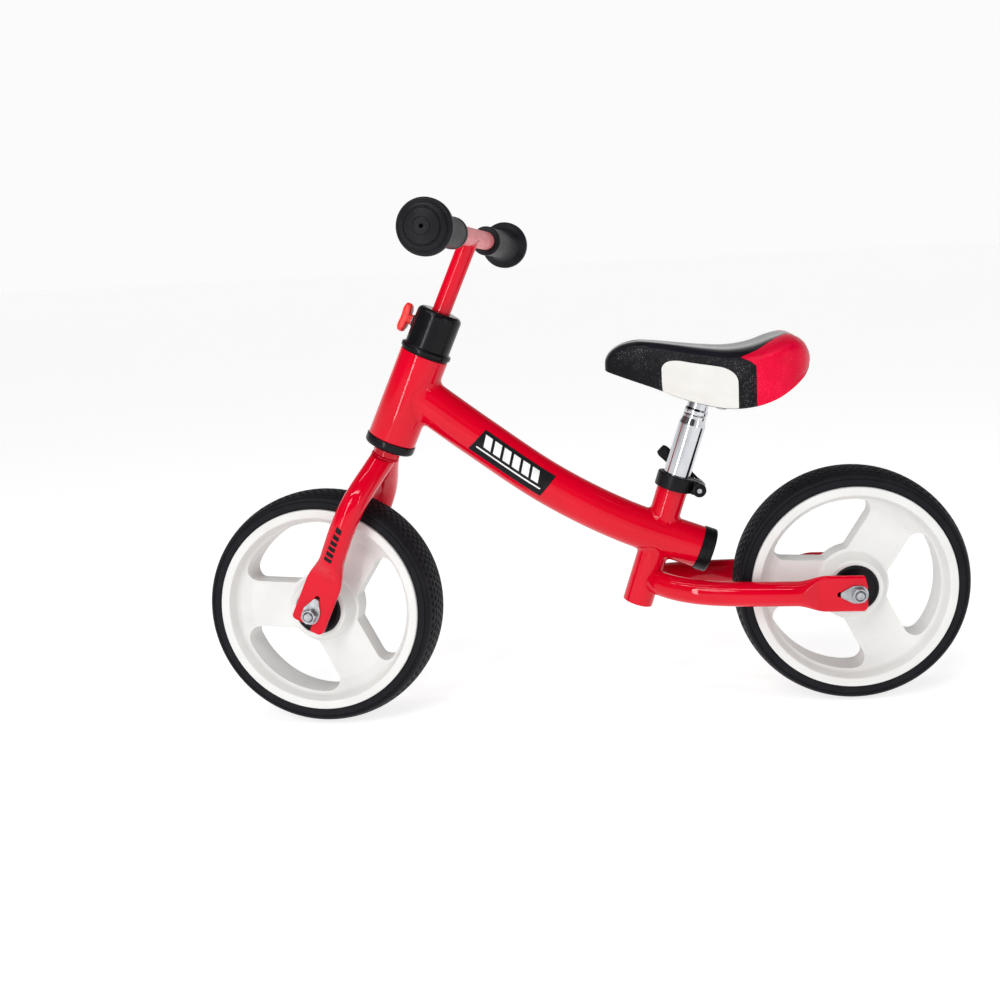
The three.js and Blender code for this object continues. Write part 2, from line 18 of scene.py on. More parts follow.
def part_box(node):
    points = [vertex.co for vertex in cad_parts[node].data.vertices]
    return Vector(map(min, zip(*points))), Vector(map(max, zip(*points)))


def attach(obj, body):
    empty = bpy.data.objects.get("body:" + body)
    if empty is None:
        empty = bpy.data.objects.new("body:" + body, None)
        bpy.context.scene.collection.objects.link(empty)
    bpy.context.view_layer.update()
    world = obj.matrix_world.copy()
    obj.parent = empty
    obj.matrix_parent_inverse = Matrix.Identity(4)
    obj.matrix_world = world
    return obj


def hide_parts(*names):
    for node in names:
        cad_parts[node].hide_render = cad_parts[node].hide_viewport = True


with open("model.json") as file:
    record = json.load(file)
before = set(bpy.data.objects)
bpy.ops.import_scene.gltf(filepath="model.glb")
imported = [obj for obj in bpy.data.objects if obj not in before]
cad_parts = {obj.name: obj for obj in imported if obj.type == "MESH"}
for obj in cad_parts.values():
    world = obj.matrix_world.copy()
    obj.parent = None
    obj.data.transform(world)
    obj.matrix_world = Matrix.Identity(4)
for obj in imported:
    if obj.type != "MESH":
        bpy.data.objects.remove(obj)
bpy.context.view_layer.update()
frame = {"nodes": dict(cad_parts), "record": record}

# ------------------------------------------------------------------ sizes, as in the part
WHEELBASE, TYRE_R, TYRE_HALF_W = 552.6, 123, 27.5
LIP_R, RIM_HALF_W, WEB_HALF_W, HUB_R, HUB_CAP_R = 106, 30, 12, 29.5, 24
SPOKE_W, WINDOW_DEG = 49, 63
AXLE_R, AXLE_HALF = 4.75, 59
HEAD_DEG, STEER_DEG, SEAT_DEG = 25.4, -7.3, 19.2
HEAD_R, HEAD_FROM, HEAD_TO = 25, 192.3, 286.7
STEERER_R, STEERER_BORE, STEERER_FROM, STEERER_TO = 12.7, 9.75, 172, 326
BAR_UP, BAR_HALF, STEM_R, STEM_BORE, STEM_FROM = 414.8, 162, 9.5, 7.8, 216
KNOB_UP = 314.5
MAIN_R, MAIN_BORE = 22.2, 20
SEAT_TOP = (-94.2, 230.6)
SEAT_R, SEAT_BORE, SEAT_FROM, SEAT_TO = 16, 14.3, -127, 13
POST_R, POST_BORE, POST_FROM, POST_NECK, POST_TO = 14, 12.4, -100, 70, 118
LEG_R, LEG_Y, PLATE_HALF, PLATE_T = 12.7, 47, 18.8, 3
SKEWER = (-26, 8)
LEVER_DEG = 27
AXLE_BORE, SLOT_R = 5.05, 4.9


def turn(axis, degrees):
    return Matrix.Rotation(math.radians(degrees), 4, axis)


def shift(x, y, z):
    return Matrix.Translation((x, y, z))


axle_low, axle_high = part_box("rear_axle")
offset = (axle_low + axle_high) / 2 - Vector((-WHEELBASE / 2, 0, TYRE_R)) / 1000
BIKE = Matrix.Translation(offset) @ Matrix.Scale(0.001, 4)
HEAD = BIKE @ shift(WHEELBASE / 2, 0, TYRE_R) @ turn("Y", -HEAD_DEG)
TURNED = HEAD @ turn("Z", STEER_DEG)
FRONT = TURNED @ turn("Y", HEAD_DEG)
REAR = BIKE @ shift(-WHEELBASE / 2, 0, TYRE_R)
SEAT = BIKE @ shift(SEAT_TOP[0], 0, SEAT_TOP[1]) @ turn("Y", -SEAT_DEG)
ALONG_Z = turn("X", 90)
ALONG_X = turn("Z", -90)
SIDES = (("left", 1), ("right", -1))

RECORD = frame["record"]
BODY = {n: b for b, nodes in RECORD["behaviour"]["bodies"].items() for n in nodes}
SLOT = {s["node"]: s["material_slot"] for s in RECORD["subparts"]}


# ------------------------------------------------------------------ materials
def add_node(tree, kind, inputs=(), **settings):
    """A shader node with its settings made and its inputs linked or filled in."""
    made = tree.nodes.new("ShaderNode" + kind)
    for key, value in settings.items():
        setattr(made, key, value)
    for key, value in dict(inputs).items():
        if isinstance(value, bpy.types.NodeSocket):
            tree.links.new(value, made.inputs[key])
        else:
            made.inputs[key].default_value = value
    return made


def ramp(tree, source, stops):
    """A colour ramp over a value; a stop holds a colour, or one number for a grey."""
    made = add_node(tree, "ValToRGB", {"Fac": source})
    elements = made.color_ramp.elements
    while len(elements) < len(stops):
        elements.new(0.5)
    for element, (at, value) in zip(elements, stops):
        element.position = at
        element.color = (*value, 1) if isinstance(value, tuple) else (value, value, value, 1)
    return made.outputs["Color"]


class Shader:
    """A Principled material whose colour, roughness and bump come from noise in the object's own space."""

    def __init__(self, name, **sockets):
        self.material = bpy.data.materials.new(name)
        self.material.use_nodes = True
        self.tree = self.material.node_tree
        self.shader = self.tree.nodes["Principled BSDF"]
        for key, value in sockets.items():
            self.shader.inputs[key.replace("_", " ").title().replace("Ior", "IOR")].default_value = value
        self.where = self.node("TexCoord").outputs["Object"]
        self.normal = None

    def node(self, kind, inputs=(), **settings):
        return add_node(self.tree, kind, inputs, **settings)

    def noise(self, scale, detail=4, roughness=0.55, stretch=None):
        where = self.where
        if stretch:
            where = self.node("Mapping", {"Vector": where, "Scale": stretch}).outputs[0]
        inputs = {"Vector": where, "Scale": scale, "Detail": detail, "Roughness": roughness}
        return self.node("TexNoise", inputs).outputs["Fac"]

    def cells(self, scale):
        inputs = {"Vector": self.where, "Scale": scale}
        return self.node("TexVoronoi", inputs, feature="DISTANCE_TO_EDGE").outputs["Distance"]

    def colour(self, source, *stops):
        self.tree.links.new(ramp(self.tree, source, stops), self.shader.inputs["Base Color"])

    def rough(self, source, low, high):
        made = self.node("MapRange", {"Value": source, "To Min": low, "To Max": high})
        self.tree.links.new(made.outputs["Result"], self.shader.inputs["Roughness"])

    def bump(self, source, depth_mm, strength=1.0):
        inputs = {"Height": source, "Distance": depth_mm / 1000, "Strength": strength}
        if self.normal is not None:
            inputs["Normal"] = self.normal
        self.normal = self.node("Bump", inputs).outputs["Normal"]
        self.tree.links.new(self.normal, self.shader.inputs["Normal"])
        return self


def enamel():
    s = Shader("red_enamel", specular_ior_level=0.12, coat_weight=0.32, coat_roughness=0.03)
    s.colour(s.noise(14, 3), (0.3, (0.60, 0.0, 0.013)), (0.7, (0.68, 0.0, 0.018)))
    s.rough(s.noise(60), 0.05, 0.09)
    return s.bump(s.noise(420, 2), 0.03, 0.3).material


def pale_enamel():
    s = Shader("rubbed_red_enamel", coat_weight=0.2, coat_roughness=0.3)
    s.colour(s.noise(160, 5), (0.3, (0.62, 0.10, 0.12)), (0.7, (0.76, 0.25, 0.26)))
    s.rough(s.noise(90), 0.4, 0.6)
    return s.bump(s.noise(900, 2), 0.06, 0.4).material


def white_plastic():
    s = Shader("white_moulding")
    s.colour(s.noise(22, 4), (0.25, (0.68, 0.675, 0.66)), (0.8, (0.76, 0.76, 0.745)))
    s.rough(s.noise(140), 0.32, 0.5)
    return s.bump(s.noise(1400, 2), 0.04, 0.5).material


def black_plastic(name="black_moulding", gloss=0.3, grain=1100):
    s = Shader(name, specular_ior_level=0.16)
    s.colour(s.noise(35), (0.3, (0.003, 0.003, 0.004)), (0.8, (0.008, 0.008, 0.010)))
    s.rough(s.noise(120), gloss - 0.06, gloss + 0.1)
    return s.bump(s.noise(grain, 2), 0.05, 0.6).material


def orange_plastic():
    s = Shader("orange_moulding")
    s.colour(s.noise(90), (0.3, (0.72, 0.012, 0.008)), (0.75, (0.82, 0.03, 0.018)))
    s.rough(s.noise(300), 0.3, 0.45)
    return s.bump(s.noise(1500, 2), 0.04, 0.5).material


def tyre_foam():
    s = Shader("tyre_foam", specular_ior_level=0.12)
    stops = (0.25, (0.005, 0.005, 0.007)), (0.6, (0.009, 0.009, 0.012)), (0.85, (0.022, 0.021, 0.022))
    s.colour(s.noise(45, 6, 0.65), *stops)
    s.rough(s.noise(80), 0.42, 0.66)
    return s.bump(s.noise(1700, 3), 0.08, 0.6).material


def grip_rubber():
    s = Shader("grip_rubber", specular_ior_level=0.14)
    s.colour(s.noise(60), (0.3, (0.006, 0.006, 0.008)), (0.8, (0.014, 0.014, 0.018)))
    s.rough(s.noise(150), 0.36, 0.52)
    return s.bump(s.noise(1600, 2), 0.05, 0.6).material


def grained(name, dark, light, painted_glint=None, gloss=0.3):
    """Embossed vinyl: a pebbled grain whose raised islands are painted lighter, partly a random tone from a
    wider noise and partly a painted highlight, with a painted glint colour on their tops.
    """
    s = Shader(name, specular_ior_level=0.1)
    pebble = s.cells(560)
    wide = s.noise(38, 4)
    mixed = s.node("Math", {0: pebble, 1: wide}, operation="ADD").outputs[0]
    # The upper stops paint highlight onto the raised pebble tops: the light colour is partly random tone and
    # partly painted highlight, and the last colour is a painted glint.
    stops = [(0.35, dark), (0.8, light)] + ([(0.92, painted_glint)] if painted_glint else [])
    s.colour(mixed, *stops)
    s.rough(wide, gloss - 0.08, gloss + 0.12)
    return s.bump(pebble, 0.3, 0.8).bump(s.noise(1500, 2), 0.05, 0.5).material


def smooth_vinyl(name, dark, light, gloss=0.2):
    s = Shader(name, specular_ior_level=0.16)
    s.colour(s.noise(30, 4), (0.3, dark), (0.75, light))
    s.rough(s.noise(70), gloss - 0.04, gloss + 0.1)
    return s.bump(s.noise(240, 3), 0.12, 0.35).material


def chrome():
    s = Shader("chrome_plate", metallic=1.0)
    s.colour(s.noise(40), (0.3, (0.56, 0.57, 0.60)), (0.8, (0.70, 0.71, 0.73)))
    s.rough(s.noise(220, 5), 0.06, 0.14)
    return s.bump(s.noise(420, 3, stretch=(1, 1, 0.12)), 0.006, 0.2).material


def zinc():
    s = Shader("zinc_plate", metallic=1.0)
    s.colour(s.noise(160, 5), (0.3, (0.30, 0.31, 0.33)), (0.75, (0.52, 0.53, 0.55)))
    s.rough(s.noise(500, 4), 0.2, 0.42)
    return s.bump(s.noise(1500, 3), 0.04, 0.5).material


def print_film(name, dark, light):
    s = Shader(name, specular_ior_level=0.12)
    s.colour(s.noise(120), (0.3, dark), (0.75, light))
    s.rough(s.noise(200), 0.3, 0.45)
    return s.bump(s.noise(1200, 2), 0.02, 0.4).material


RED, RUBBED, WHITE, ORANGE = enamel(), pale_enamel(), white_plastic(), orange_plastic()
BLACK, GLOSS_BLACK = black_plastic(), black_plastic("glossy_black_moulding", 0.16, 500)
TYRE, GRIP = tyre_foam(), grip_rubber()
CHROME, ZINC = chrome(), zinc()
BY_SLOT = {
    "red_paint": RED, "white_plastic": WHITE, "black_plastic": BLACK, "orange_plastic": ORANGE,
    "tyre_foam": TYRE, "grip_rubber": GRIP, "saddle_cover": BLACK, "chrome": CHROME, "zinc_steel": ZINC,
}


# ------------------------------------------------------------------ outlines, and shapes as (points, faces)
def unit(v):
    return np.array(v, float) / norm(v)


def circle(r, degrees, x=0.0, y=0.0):
    return [(x + r * math.cos(a), y + r * math.sin(a)) for a in np.radians(degrees)]


def moved(shape, matrix):
    return [tuple(matrix @ Vector(p)) for p in shape[0]], shape[1]


def rounded(corners, steps=6):
    """An outline of (x, y) or (x, y, radius) corners, with each radius turned into an arc."""
    made = []
    for i, corner in enumerate(corners):
        at = np.array(corner[:2], float)
        r = corner[2] if len(corner) > 2 else 0
        if not r:
            made.append(tuple(at))
            continue
        back = np.array(corners[i - 1][:2], float) - at
        ahead = np.array(corners[(i + 1) % len(corners)][:2], float) - at
        back, ahead = unit(back), unit(ahead)
        half = math.acos(np.clip(back @ ahead, -1, 1)) / 2
        centre = at + unit(back + ahead) * r / math.sin(half)
        start = at + back * r / math.tan(half) - centre
        end = at + ahead * r / math.tan(half) - centre
        swing = math.atan2(start[0] * end[1] - start[1] * end[0], start @ end)
        for k in range(steps + 1):
            c, s = math.cos(swing * k / steps), math.sin(swing * k / steps)
            x, y = c * start[0] - s * start[1], s * start[0] + c * start[1]
            made.append((centre[0] + x, centre[1] + y))
    return made


def lathe(outline, steps=96):
    """[radius, y] points turned about Y: a closed outline, or an open one with both ends on the axis."""
    points, rings = [], []
    turns = [2 * math.pi * k / steps for k in range(steps)]
    for r, y in outline:
        if r < 1e-6:
            rings.append([len(points)] * steps)
            points.append((0, y, 0))
        else:
            rings.append(list(range(len(points), len(points) + steps)))
            points += [(r * math.cos(a), y, r * math.sin(a)) for a in turns]
    faces = []
    for a, b in zip(rings, rings[1:] + rings[:1]):
        for k in range(steps):
            j = (k + 1) % steps
            face = list(dict.fromkeys([a[k], a[j], b[j], b[k]]))
            if len(face) > 2:
                faces.append(face)
    return points, faces


def tube_outline(bore, r, low, high, edge=0.5):
    return rounded([(bore, low, edge / 2), (r, low, edge), (r, high, edge), (bore, high, edge / 2)], 3)


def slab(outline, low, high):
    """An outline in X and Z, given thickness along Y."""
    n = len(outline)
    points = [(x, low, z) for x, z in outline] + [(x, high, z) for x, z in outline]
    sides = [[k, (k + 1) % n, n + (k + 1) % n, n + k] for k in range(n)]
    return points, sides + [list(range(n))[::-1], list(range(n, 2 * n))]


def block(x0, x1, y0, y1, z0, z1):
    return slab([(x0, z0), (x1, z0), (x1, z1), (x0, z1)], y0, y1)


def mix(a, b, start, end, at):
    return ((end - at) * a + (at - start) * b) / (end - start)


def smooth_path(points, steps):
    """Evenly spaced points on a centripetal curve through the given ones."""
    p = [np.array(q, float) for q in points]
    p = [2 * p[0] - p[1]] + p + [2 * p[-1] - p[-2]]
    fine = []
    for q in zip(p, p[1:], p[2:], p[3:]):
        t = np.cumsum([0] + [norm(b - a) ** 0.5 for a, b in zip(q, q[1:])])
        for u in np.linspace(t[1], t[2], 24, endpoint=False):
            a = [mix(q[k], q[k + 1], t[k], t[k + 1], u) for k in range(3)]
            b = [mix(a[k], a[k + 1], t[k], t[k + 2], u) for k in range(2)]
            fine.append(mix(b[0], b[1], t[1], t[2], u))
    fine = np.array(fine + [p[-2]])
    run = np.cumsum([0, *norm(np.diff(fine, axis=0), axis=1)])
    even = np.linspace(0, run[-1], steps + 1)
    return np.column_stack([np.interp(even, run, fine[:, k]) for k in range(fine.shape[1])])


def rings_to_mesh(rings, closed=False):
    """A skin through equal rings of points, its ends closed flat unless the rings themselves close up."""
    n = len(rings[0])
    points = [tuple(q) for ring in rings for q in ring]
    faces = []
    pairs = len(rings) if closed else len(rings) - 1
    for i in range(pairs):
        a, b = i * n, (i + 1) % len(rings) * n
        faces += [[a + k, a + (k + 1) % n, b + (k + 1) % n, b + k] for k in range(n)]
    if not closed:
        faces += [list(range(n))[::-1], list(range(len(points) - n, len(points)))]
    return points, faces


def sweep(path, sizes, up, count=40, closed=False):
    """Stadium sections along a path: sizes gives (half height along up, half thickness) at each point."""
    path = np.array(path, float)
    up = np.array(up, float)
    rings = []
    for i, at in enumerate(path):
        before = path[i - 1] if closed else path[max(0, i - 1)]
        after = path[(i + 1) % len(path)] if closed else path[min(len(path) - 1, i + 1)]
        along = unit(after - before)
        across = unit(np.cross(up, along))
        lift = np.cross(along, across)
        tall, thick = sizes[i] if np.ndim(sizes) > 1 else sizes
        t = (np.arange(count) + 0.5) / count * 2 * math.pi
        level = np.sign(np.sin(t)) * (tall - thick) + thick * np.sin(t)
        rings.append(at + np.outer(thick * np.cos(t), across) + np.outer(level, lift))
    return rings_to_mesh(rings, closed)


def flipped(shape, sign):
    """The shape, or for the right side its mirror image."""
    points, faces = shape
    return shape if sign > 0 else ([(x, -y, z) for x, y, z in points], [f[::-1] for f in faces])


def merged(*shapes):
    points, faces = [], []
    for p, f in shapes:
        faces += [[k + len(points) for k in face] for face in f]
        points += list(p)
    return points, faces


# ------------------------------------------------------------------ making pieces
def mesh_object(name, shape, place):
    points, faces = shape
    data = bpy.data.meshes.new(name)
    data.from_pydata([place @ Vector(p) for p in points], [], faces)
    bm = bmesh.new()
    bm.from_mesh(data)
    bmesh.ops.recalc_face_normals(bm, faces=bm.faces)
    bm.to_mesh(data)
    bm.free()
    obj = bpy.data.objects.new(name, data)
    bpy.context.scene.collection.objects.link(obj)
    return obj


def apply_modifiers(obj):
    bpy.context.view_layer.update()
    made = bpy.data.meshes.new_from_object(obj.evaluated_get(bpy.context.evaluated_depsgraph_get()))
    obj.modifiers.clear()
    obj.data = made


def carve(obj, place, *cutters, operation="DIFFERENCE"):
    tools = [mesh_object("cutter", shape, place) for shape in cutters]
    for tool in tools:
        m = obj.modifiers.new("cut", "BOOLEAN")
        m.operation, m.solver, m.object = operation, "EXACT", tool
    apply_modifiers(obj)
    for tool in tools:
        bpy.data.objects.remove(tool)
    return obj


def soften(obj, edge_mm=0.4, angle=38, segments=3):
    """Smooth shading, with the sharp edges eased by a small radius."""
    obj.data.shade_smooth()
    obj.data.set_sharp_from_angle(angle=math.radians(angle))
    if edge_mm:
        m = obj.modifiers.new("edges", "BEVEL")
        m.width, m.segments, m.limit_method = edge_mm / 1000, segments, "ANGLE"
        m.angle_limit, m.harden_normals, m.use_clamp_overlap = math.radians(angle), False, True
    return obj


def coat(obj, material):
    obj.data.materials.clear()
    obj.data.materials.append(material)


def dress(node, shape, place, material=None, edge_mm=0.0, cuts=(), keep=(), angle=38):
    """A detailed piece that stands for a CAD node, on the node's own body and slot."""
    obj = shape if isinstance(shape, bpy.types.Object) else mesh_object(node + "_look", shape, place)
    if keep:
        carve(obj, place, *keep, operation="INTERSECT")
    if cuts:
        carve(obj, place, *cuts)
    coat(obj, material or BY_SLOT[SLOT[node]])
    soften(obj, edge_mm, angle)
    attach(obj, BODY[node])
    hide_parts(node)


def add(name, shape, place, body, material, edge_mm=0.0):
    """A piece of trim that stands for no CAD node."""
    obj = shape if isinstance(shape, bpy.types.Object) else mesh_object(name, shape, place)
    coat(obj, material)
    soften(obj, edge_mm)
    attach(obj, body)
    return obj


def carry_over(node, edge_mm=0.3):
    """A CAD node that keeps its own shape, with eased edges and a worked material."""
    obj = frame["nodes"][node]
    coat(obj, BY_SLOT[SLOT[node]])
    soften(obj, edge_mm, segments=2)


# ------------------------------------------------------------------ wheels
def tyre():
    """A foam tyre: slanted dimples in staggered rows over the tread, and a grooved band on each side."""
    around, rows = 576, 45
    pitch, row_w, tread, dimple = 2 * math.pi / 96, 6.6, 22.5, 1.9
    crown = lambda y: TYRE_R - 4.4 * abs(y / 25.5) ** 2.3
    side = rounded([
        (crown(tread + 1.2), tread + 1.2), (crown(25.2), 25.2), (116.9, 27.3, 1.5), (115.2, TYRE_HALF_W),
        (114.6, TYRE_HALF_W - 0.8), (113.9, TYRE_HALF_W - 0.8), (113.3, TYRE_HALF_W),
        (LIP_R + 1.3, TYRE_HALF_W + 0.1, 0.8), (LIP_R + 0.3, TYRE_HALF_W - 1.0), (LIP_R + 0.3, 22.7),
        (LIP_R - 2.6, 22.7),
    ], 3)
    t = np.arange(around) * 2 * math.pi / around
    ring = lambda r, y: np.column_stack([r * np.cos(t), np.full(around, y), r * np.sin(t)])
    rings = [ring(r, -y) for r, y in side[::-1]]
    for y in np.linspace(-tread, tread, rows):
        row = round(y / row_w)
        across = (y - row * row_w) / row_w
        slant = 0.35 * (1 if row % 2 else -1)
        along = (t / pitch + 0.5 * (row % 2) + slant * across + 0.5) % 1 - 0.5
        deep = np.clip(1 - np.sqrt((along / 0.36) ** 2 + (across / 0.34) ** 2), 0, 1)
        rings.append(ring(crown(y) - dimple * np.minimum(deep * 2.2, 1) ** 1.2, y))
    return rings_to_mesh(rings + [ring(r, y) for r, y in side], closed=True)


def window_outline():
    """One opening between two spokes, drawn about +X."""
    inner, outer, side = HUB_R + 8.5, 91, SPOKE_W / 2
    c, s = math.cos(math.radians(60)), math.sin(math.radians(60))

    def corner(r):
        along = math.sqrt(r * r - side * side)
        return along * c + side * s, along * s - side * c

    (ox, oy), (hx, hy) = corner(outer), corner(inner)
    arc, hub = circle(outer, range(-30, 31, 5)), circle(inner, (14, 5, -5, -14))
    return rounded([(ox, -oy, 11)] + arc + [(ox, oy, 11), (hx, hy, 5)] + hub + [(hx, -hy, 5)], 8)


def rim_body(name, place):
    half = [
        (LIP_R - 3, 22.9), (LIP_R, 22.9), (LIP_R, RIM_HALF_W, 1.6), (97.2, RIM_HALF_W, 1.6), (93.2, 17, 9),
        (80, WEB_HALF_W, 3), (HUB_R + 6, WEB_HALF_W, 4), (HUB_R - 0.5, RIM_HALF_W - 0.5, 2),
        (HUB_CAP_R + 0.3, RIM_HALF_W - 0.5, 0.4), (HUB_CAP_R + 0.3, 27.2), (11.3, 27.2), (11.3, 18.7),
        (8, 18.7),
    ]
    outline = [(r, -y, *c) for r, y, *c in half][::-1] + half
    obj = mesh_object(name, lathe(rounded(outline, 6), 144), place)
    cutters = []
    for k in range(3):
        a = math.radians(WINDOW_DEG + 120 * k)
        c, s = math.cos(a), math.sin(a)
        cutters.append(slab([(x * c - z * s, x * s + z * c) for x, z in window_outline()], -40, 40))
    return carve(obj, place, *cutters)


def wheel(end, place):
    dress(f"{end}_tyre", tyre(), place)
    dress(f"{end}_rim", rim_body(f"{end}_rim_look", place), place, edge_mm=1.3, angle=42)
    for side, sign in SIDES:
        cap = rounded([
            (6.2, 27.5), (HUB_CAP_R, 27.5), (HUB_CAP_R, 31, 1.2), (21, 31.2, 0.5), (20.4, 30.6, 0.4),
            (12, 30.6, 0.5), (11.4, 31.2, 0.5), (6.2, 31.2, 0.4),
        ], 3)
        dress(f"{end}_hub_cap_{side}", flipped(lathe(cap, 72), sign), place, BLACK)
        bearing = lathe(tube_outline(AXLE_BORE, 11, 19, 26, 0.8), 48)
        dress(f"{end}_bearing_{side}", flipped(bearing, sign), place)


# ------------------------------------------------------------------ axle and what is on it
def axle_outline():
    """A rod whose two ends are threaded past the nuts."""
    start = 51.5
    turns = np.arange(start, AXLE_HALF - 1.2, 0.5)
    thread = [(AXLE_R - (0.5 if k % 2 else 0.05), y) for k, y in enumerate(turns)]
    half = [(AXLE_R, 40), (AXLE_R, start - 0.5)] + thread + [(AXLE_R - 0.9, AXLE_HALF), (0, AXLE_HALF)]
    return [(r, -y) for r, y in half][::-1] + half


def tab_washer(face):
    """A teardrop plate with a tab bent into the blade's hole."""
    outline = rounded([
        (-9.2, -9.2, 9), (6, -9.2, 7), (18.6, -2.4, 1.4), (18.6, 2.4, 1.4), (6, 9.2, 7), (-9.2, 9.2, 9),
    ], 8)
    tab = block(16.9, 18.5, face - 3.6, face + 0.8, -1.3, 1.3)
    return merged(slab(outline, face, face + 1.6), tab)


def nut(low, high):
    """A hexagon nut with its corners chamfered, and a bored middle."""
    count, corner_r = 48, 8.1
    angles = np.arange(count) * 2 * math.pi / count
    side = lambda a: corner_r * math.cos(math.radians(30)) / math.cos((a % (math.pi / 3)) - math.pi / 6)
    rings = []
    for y, most in ((low, 7.35), (low + 0.55, math.inf), (high - 0.8, math.inf), (high, 6.9)):
        reach = [min(side(a), most) for a in angles]
        rings.append([(r * math.cos(a), y, r * math.sin(a)) for r, a in zip(reach, angles)])
    for y, r in ((high, 5.6), (high - 0.5, AXLE_BORE), (low, AXLE_BORE)):
        rings.append([(r * math.cos(a), y, r * math.sin(a)) for a in angles])
    return rings_to_mesh(rings, closed=True)


def axle_set(end, place):
    dress(f"{end}_axle", lathe(axle_outline(), 40), place, ZINC)
    face = LEG_Y + PLATE_T
    for side, sign in SIDES:
        sleeve = rounded([
            (AXLE_BORE, 26.3), (5.9, 26.3), (5.9, 31.7), (8.5, 31.7, 0.5), (8.5, 43.7, 0.5),
            (AXLE_BORE, 43.7),
        ], 2)
        dress(f"{end}_spacer_{side}", flipped(lathe(sleeve, 48), sign), place)
        washer, hexagon = tab_washer(face + 0.3), nut(face + 2.2, face + 7.8)
        dress(f"{end}_tab_washer_{side}", flipped(washer, sign), place, ZINC, edge_mm=0.25)
        dress(f"{end}_nut_{side}", flipped(hexagon, sign), place, ZINC, edge_mm=0.12, angle=25)


# ------------------------------------------------------------------ tubes
def bead(name, path, place, body, r=1.9):
    """A painted weld: a lumpy ring of filler laid along a closed path."""
    closed = np.array([*path, path[0]], float)
    run = np.concatenate([[0], np.cumsum(norm(np.diff(closed, axis=0), axis=1))])
    count = max(60, int(run[-1] / 0.9))
    places = np.linspace(0, run[-1], count, endpoint=False)
    even = np.column_stack([np.interp(places, run, closed[:, k]) for k in range(3)])
    ripples = 2 * math.pi * round(run[-1] / 3.4) / count
    middle = even.mean(0)
    rings = []
    for i, at in enumerate(even):
        along = unit(even[(i + 1) % count] - even[i - 1])
        out = at - middle
        out = unit(out - along * (out @ along))
        side = np.cross(along, out)
        size = r * (1 + 0.1 * math.cos(ripples * i))
        t = np.arange(10) / 10 * 2 * math.pi
        rings.append(at + size * (np.outer(np.cos(t), out) + np.outer(np.sin(t), side)))
    return add(name, rings_to_mesh(rings, closed=True), place, body, RED)


def meeting(start, along, r, point, axis, other_r, far=False, count=96):
    """Where a tube of radius r meets a cylinder about another axis, with the two ways out of that corner."""
    along, axis = unit(along), unit(axis)
    side = unit(np.cross(along, (0, 1, 0)))
    other = np.cross(along, side)
    corners, ways = [], []
    for t in np.arange(count) * 2 * math.pi / count:
        out = math.cos(t) * side + math.sin(t) * other
        base = np.array(start, float) + r * out - np.array(point, float)
        d, b = along - axis * (along @ axis), base - axis * (base @ axis)
        half, lead, rest = d @ b, d @ d, b @ b - other_r**2
        root = math.sqrt(max(half * half - lead * rest, 0))
        hit = base + along * ((-half + root) if far else (-half - root)) / lead
        normal = unit(hit - axis * (hit @ axis))
        away = out - normal * (out @ normal)
        corners.append(hit + np.array(point, float))
        ways.append((along if far else -along, unit(away)))
    return corners, ways


def weld(name, joint, size, place, body="frame"):
    """A painted fillet that rounds off the corner where one tube is welded to another."""
    corners, ways = joint
    ripples = 32
    rings = []
    for k, (at, (up, out)) in enumerate(zip(corners, ways)):
        reach = size * (1 + 0.05 * math.cos(k * 2 * math.pi * ripples / len(corners)))
        a, b = at + up * reach, at + out * reach
        arc = [a * (1 - t) ** 2 + at * 2 * t * (1 - t) + b * t * t for t in np.linspace(0, 1, 7)]
        rings.append(arc + [b - (up + out) * 0.6, at - (up + out) * 0.8, a - (up + out) * 0.6])
    add(name, rings_to_mesh(rings, closed=True), place, body, RED)


MAIN_POINTS = [(168, 0, 346), (101.3, 0, 292.6), (30.4, 0, 239.6), (-40.4, 0, 199.4), (-118.9, 0, 167.2)]
HEAD_AT, SEAT_AT = (WHEELBASE / 2, 0, TYRE_R), (SEAT_TOP[0], 0, SEAT_TOP[1])
HEAD_AXIS, SEAT_AXIS = (
    (-math.sin(math.radians(lean)), 0, math.cos(math.radians(lean))) for lean in (HEAD_DEG, SEAT_DEG)
)


def eased(share):
    share = np.clip(share, 0, 1)
    return share * share * (3 - 2 * share)


def blade(bend, flat, up, far_end):
    """A round tube bent along one path, then squashed flat over a second one."""
    path, crimp = smooth_path(bend, 40), smooth_path(flat, 44)
    run = np.linspace(0, 1, len(crimp))
    tall = LEG_R + (PLATE_HALF - LEG_R) * eased(run / far_end)
    thick = LEG_R + (PLATE_T - LEG_R) * eased(run / (far_end * 0.86))
    sizes = [(LEG_R, LEG_R)] * len(path) + list(zip(tall, thick))[1:]
    return sweep(np.vstack([path, crimp[1:]]), sizes, up, 44)


def slot_cutters():
    """The open axle slot along -X and the tab washer's hole, in the blade's end."""
    slot = [(-60, -SLOT_R), *circle(SLOT_R, range(-90, 91, 15)), (-60, SLOT_R)]
    hole = circle(2.9, range(0, 360, 20), 19.2)
    return [slab(outline, LEG_Y - 12, LEG_Y + 12) for outline in (slot, hole)]


def fork_leg(side, sign):
    up = lambda s, y=LEG_Y: (0, y, s)
    arch = ((177, 0), (158, 20), (140, 39), (123, 51), (102, 55.5), (82, 53.5), (66, 50.4))
    bend = [up(s, y) for s, y in arch]
    flat = [up(66, 50.4), up(52, 47.8), up(34), up(8), up(-15.5)]
    shape = flipped(blade(bend, flat, (1, 0, 0), 0.4), sign)
    outline = rounded([(-19, -15.5, 6), (0, -15.5), (0, -10.3), (19, -10.3, 6), (19, 171.7), (-19, 171.7)], 8)
    keep = [flipped(slab(outline, 0.0, 70), sign)]
    cuts = [flipped(moved(c, turn("Y", -90)), sign) for c in slot_cutters()]
    dress(f"fork_leg_{side}", shape, TURNED, edge_mm=0.5, cuts=cuts, keep=keep, angle=42)


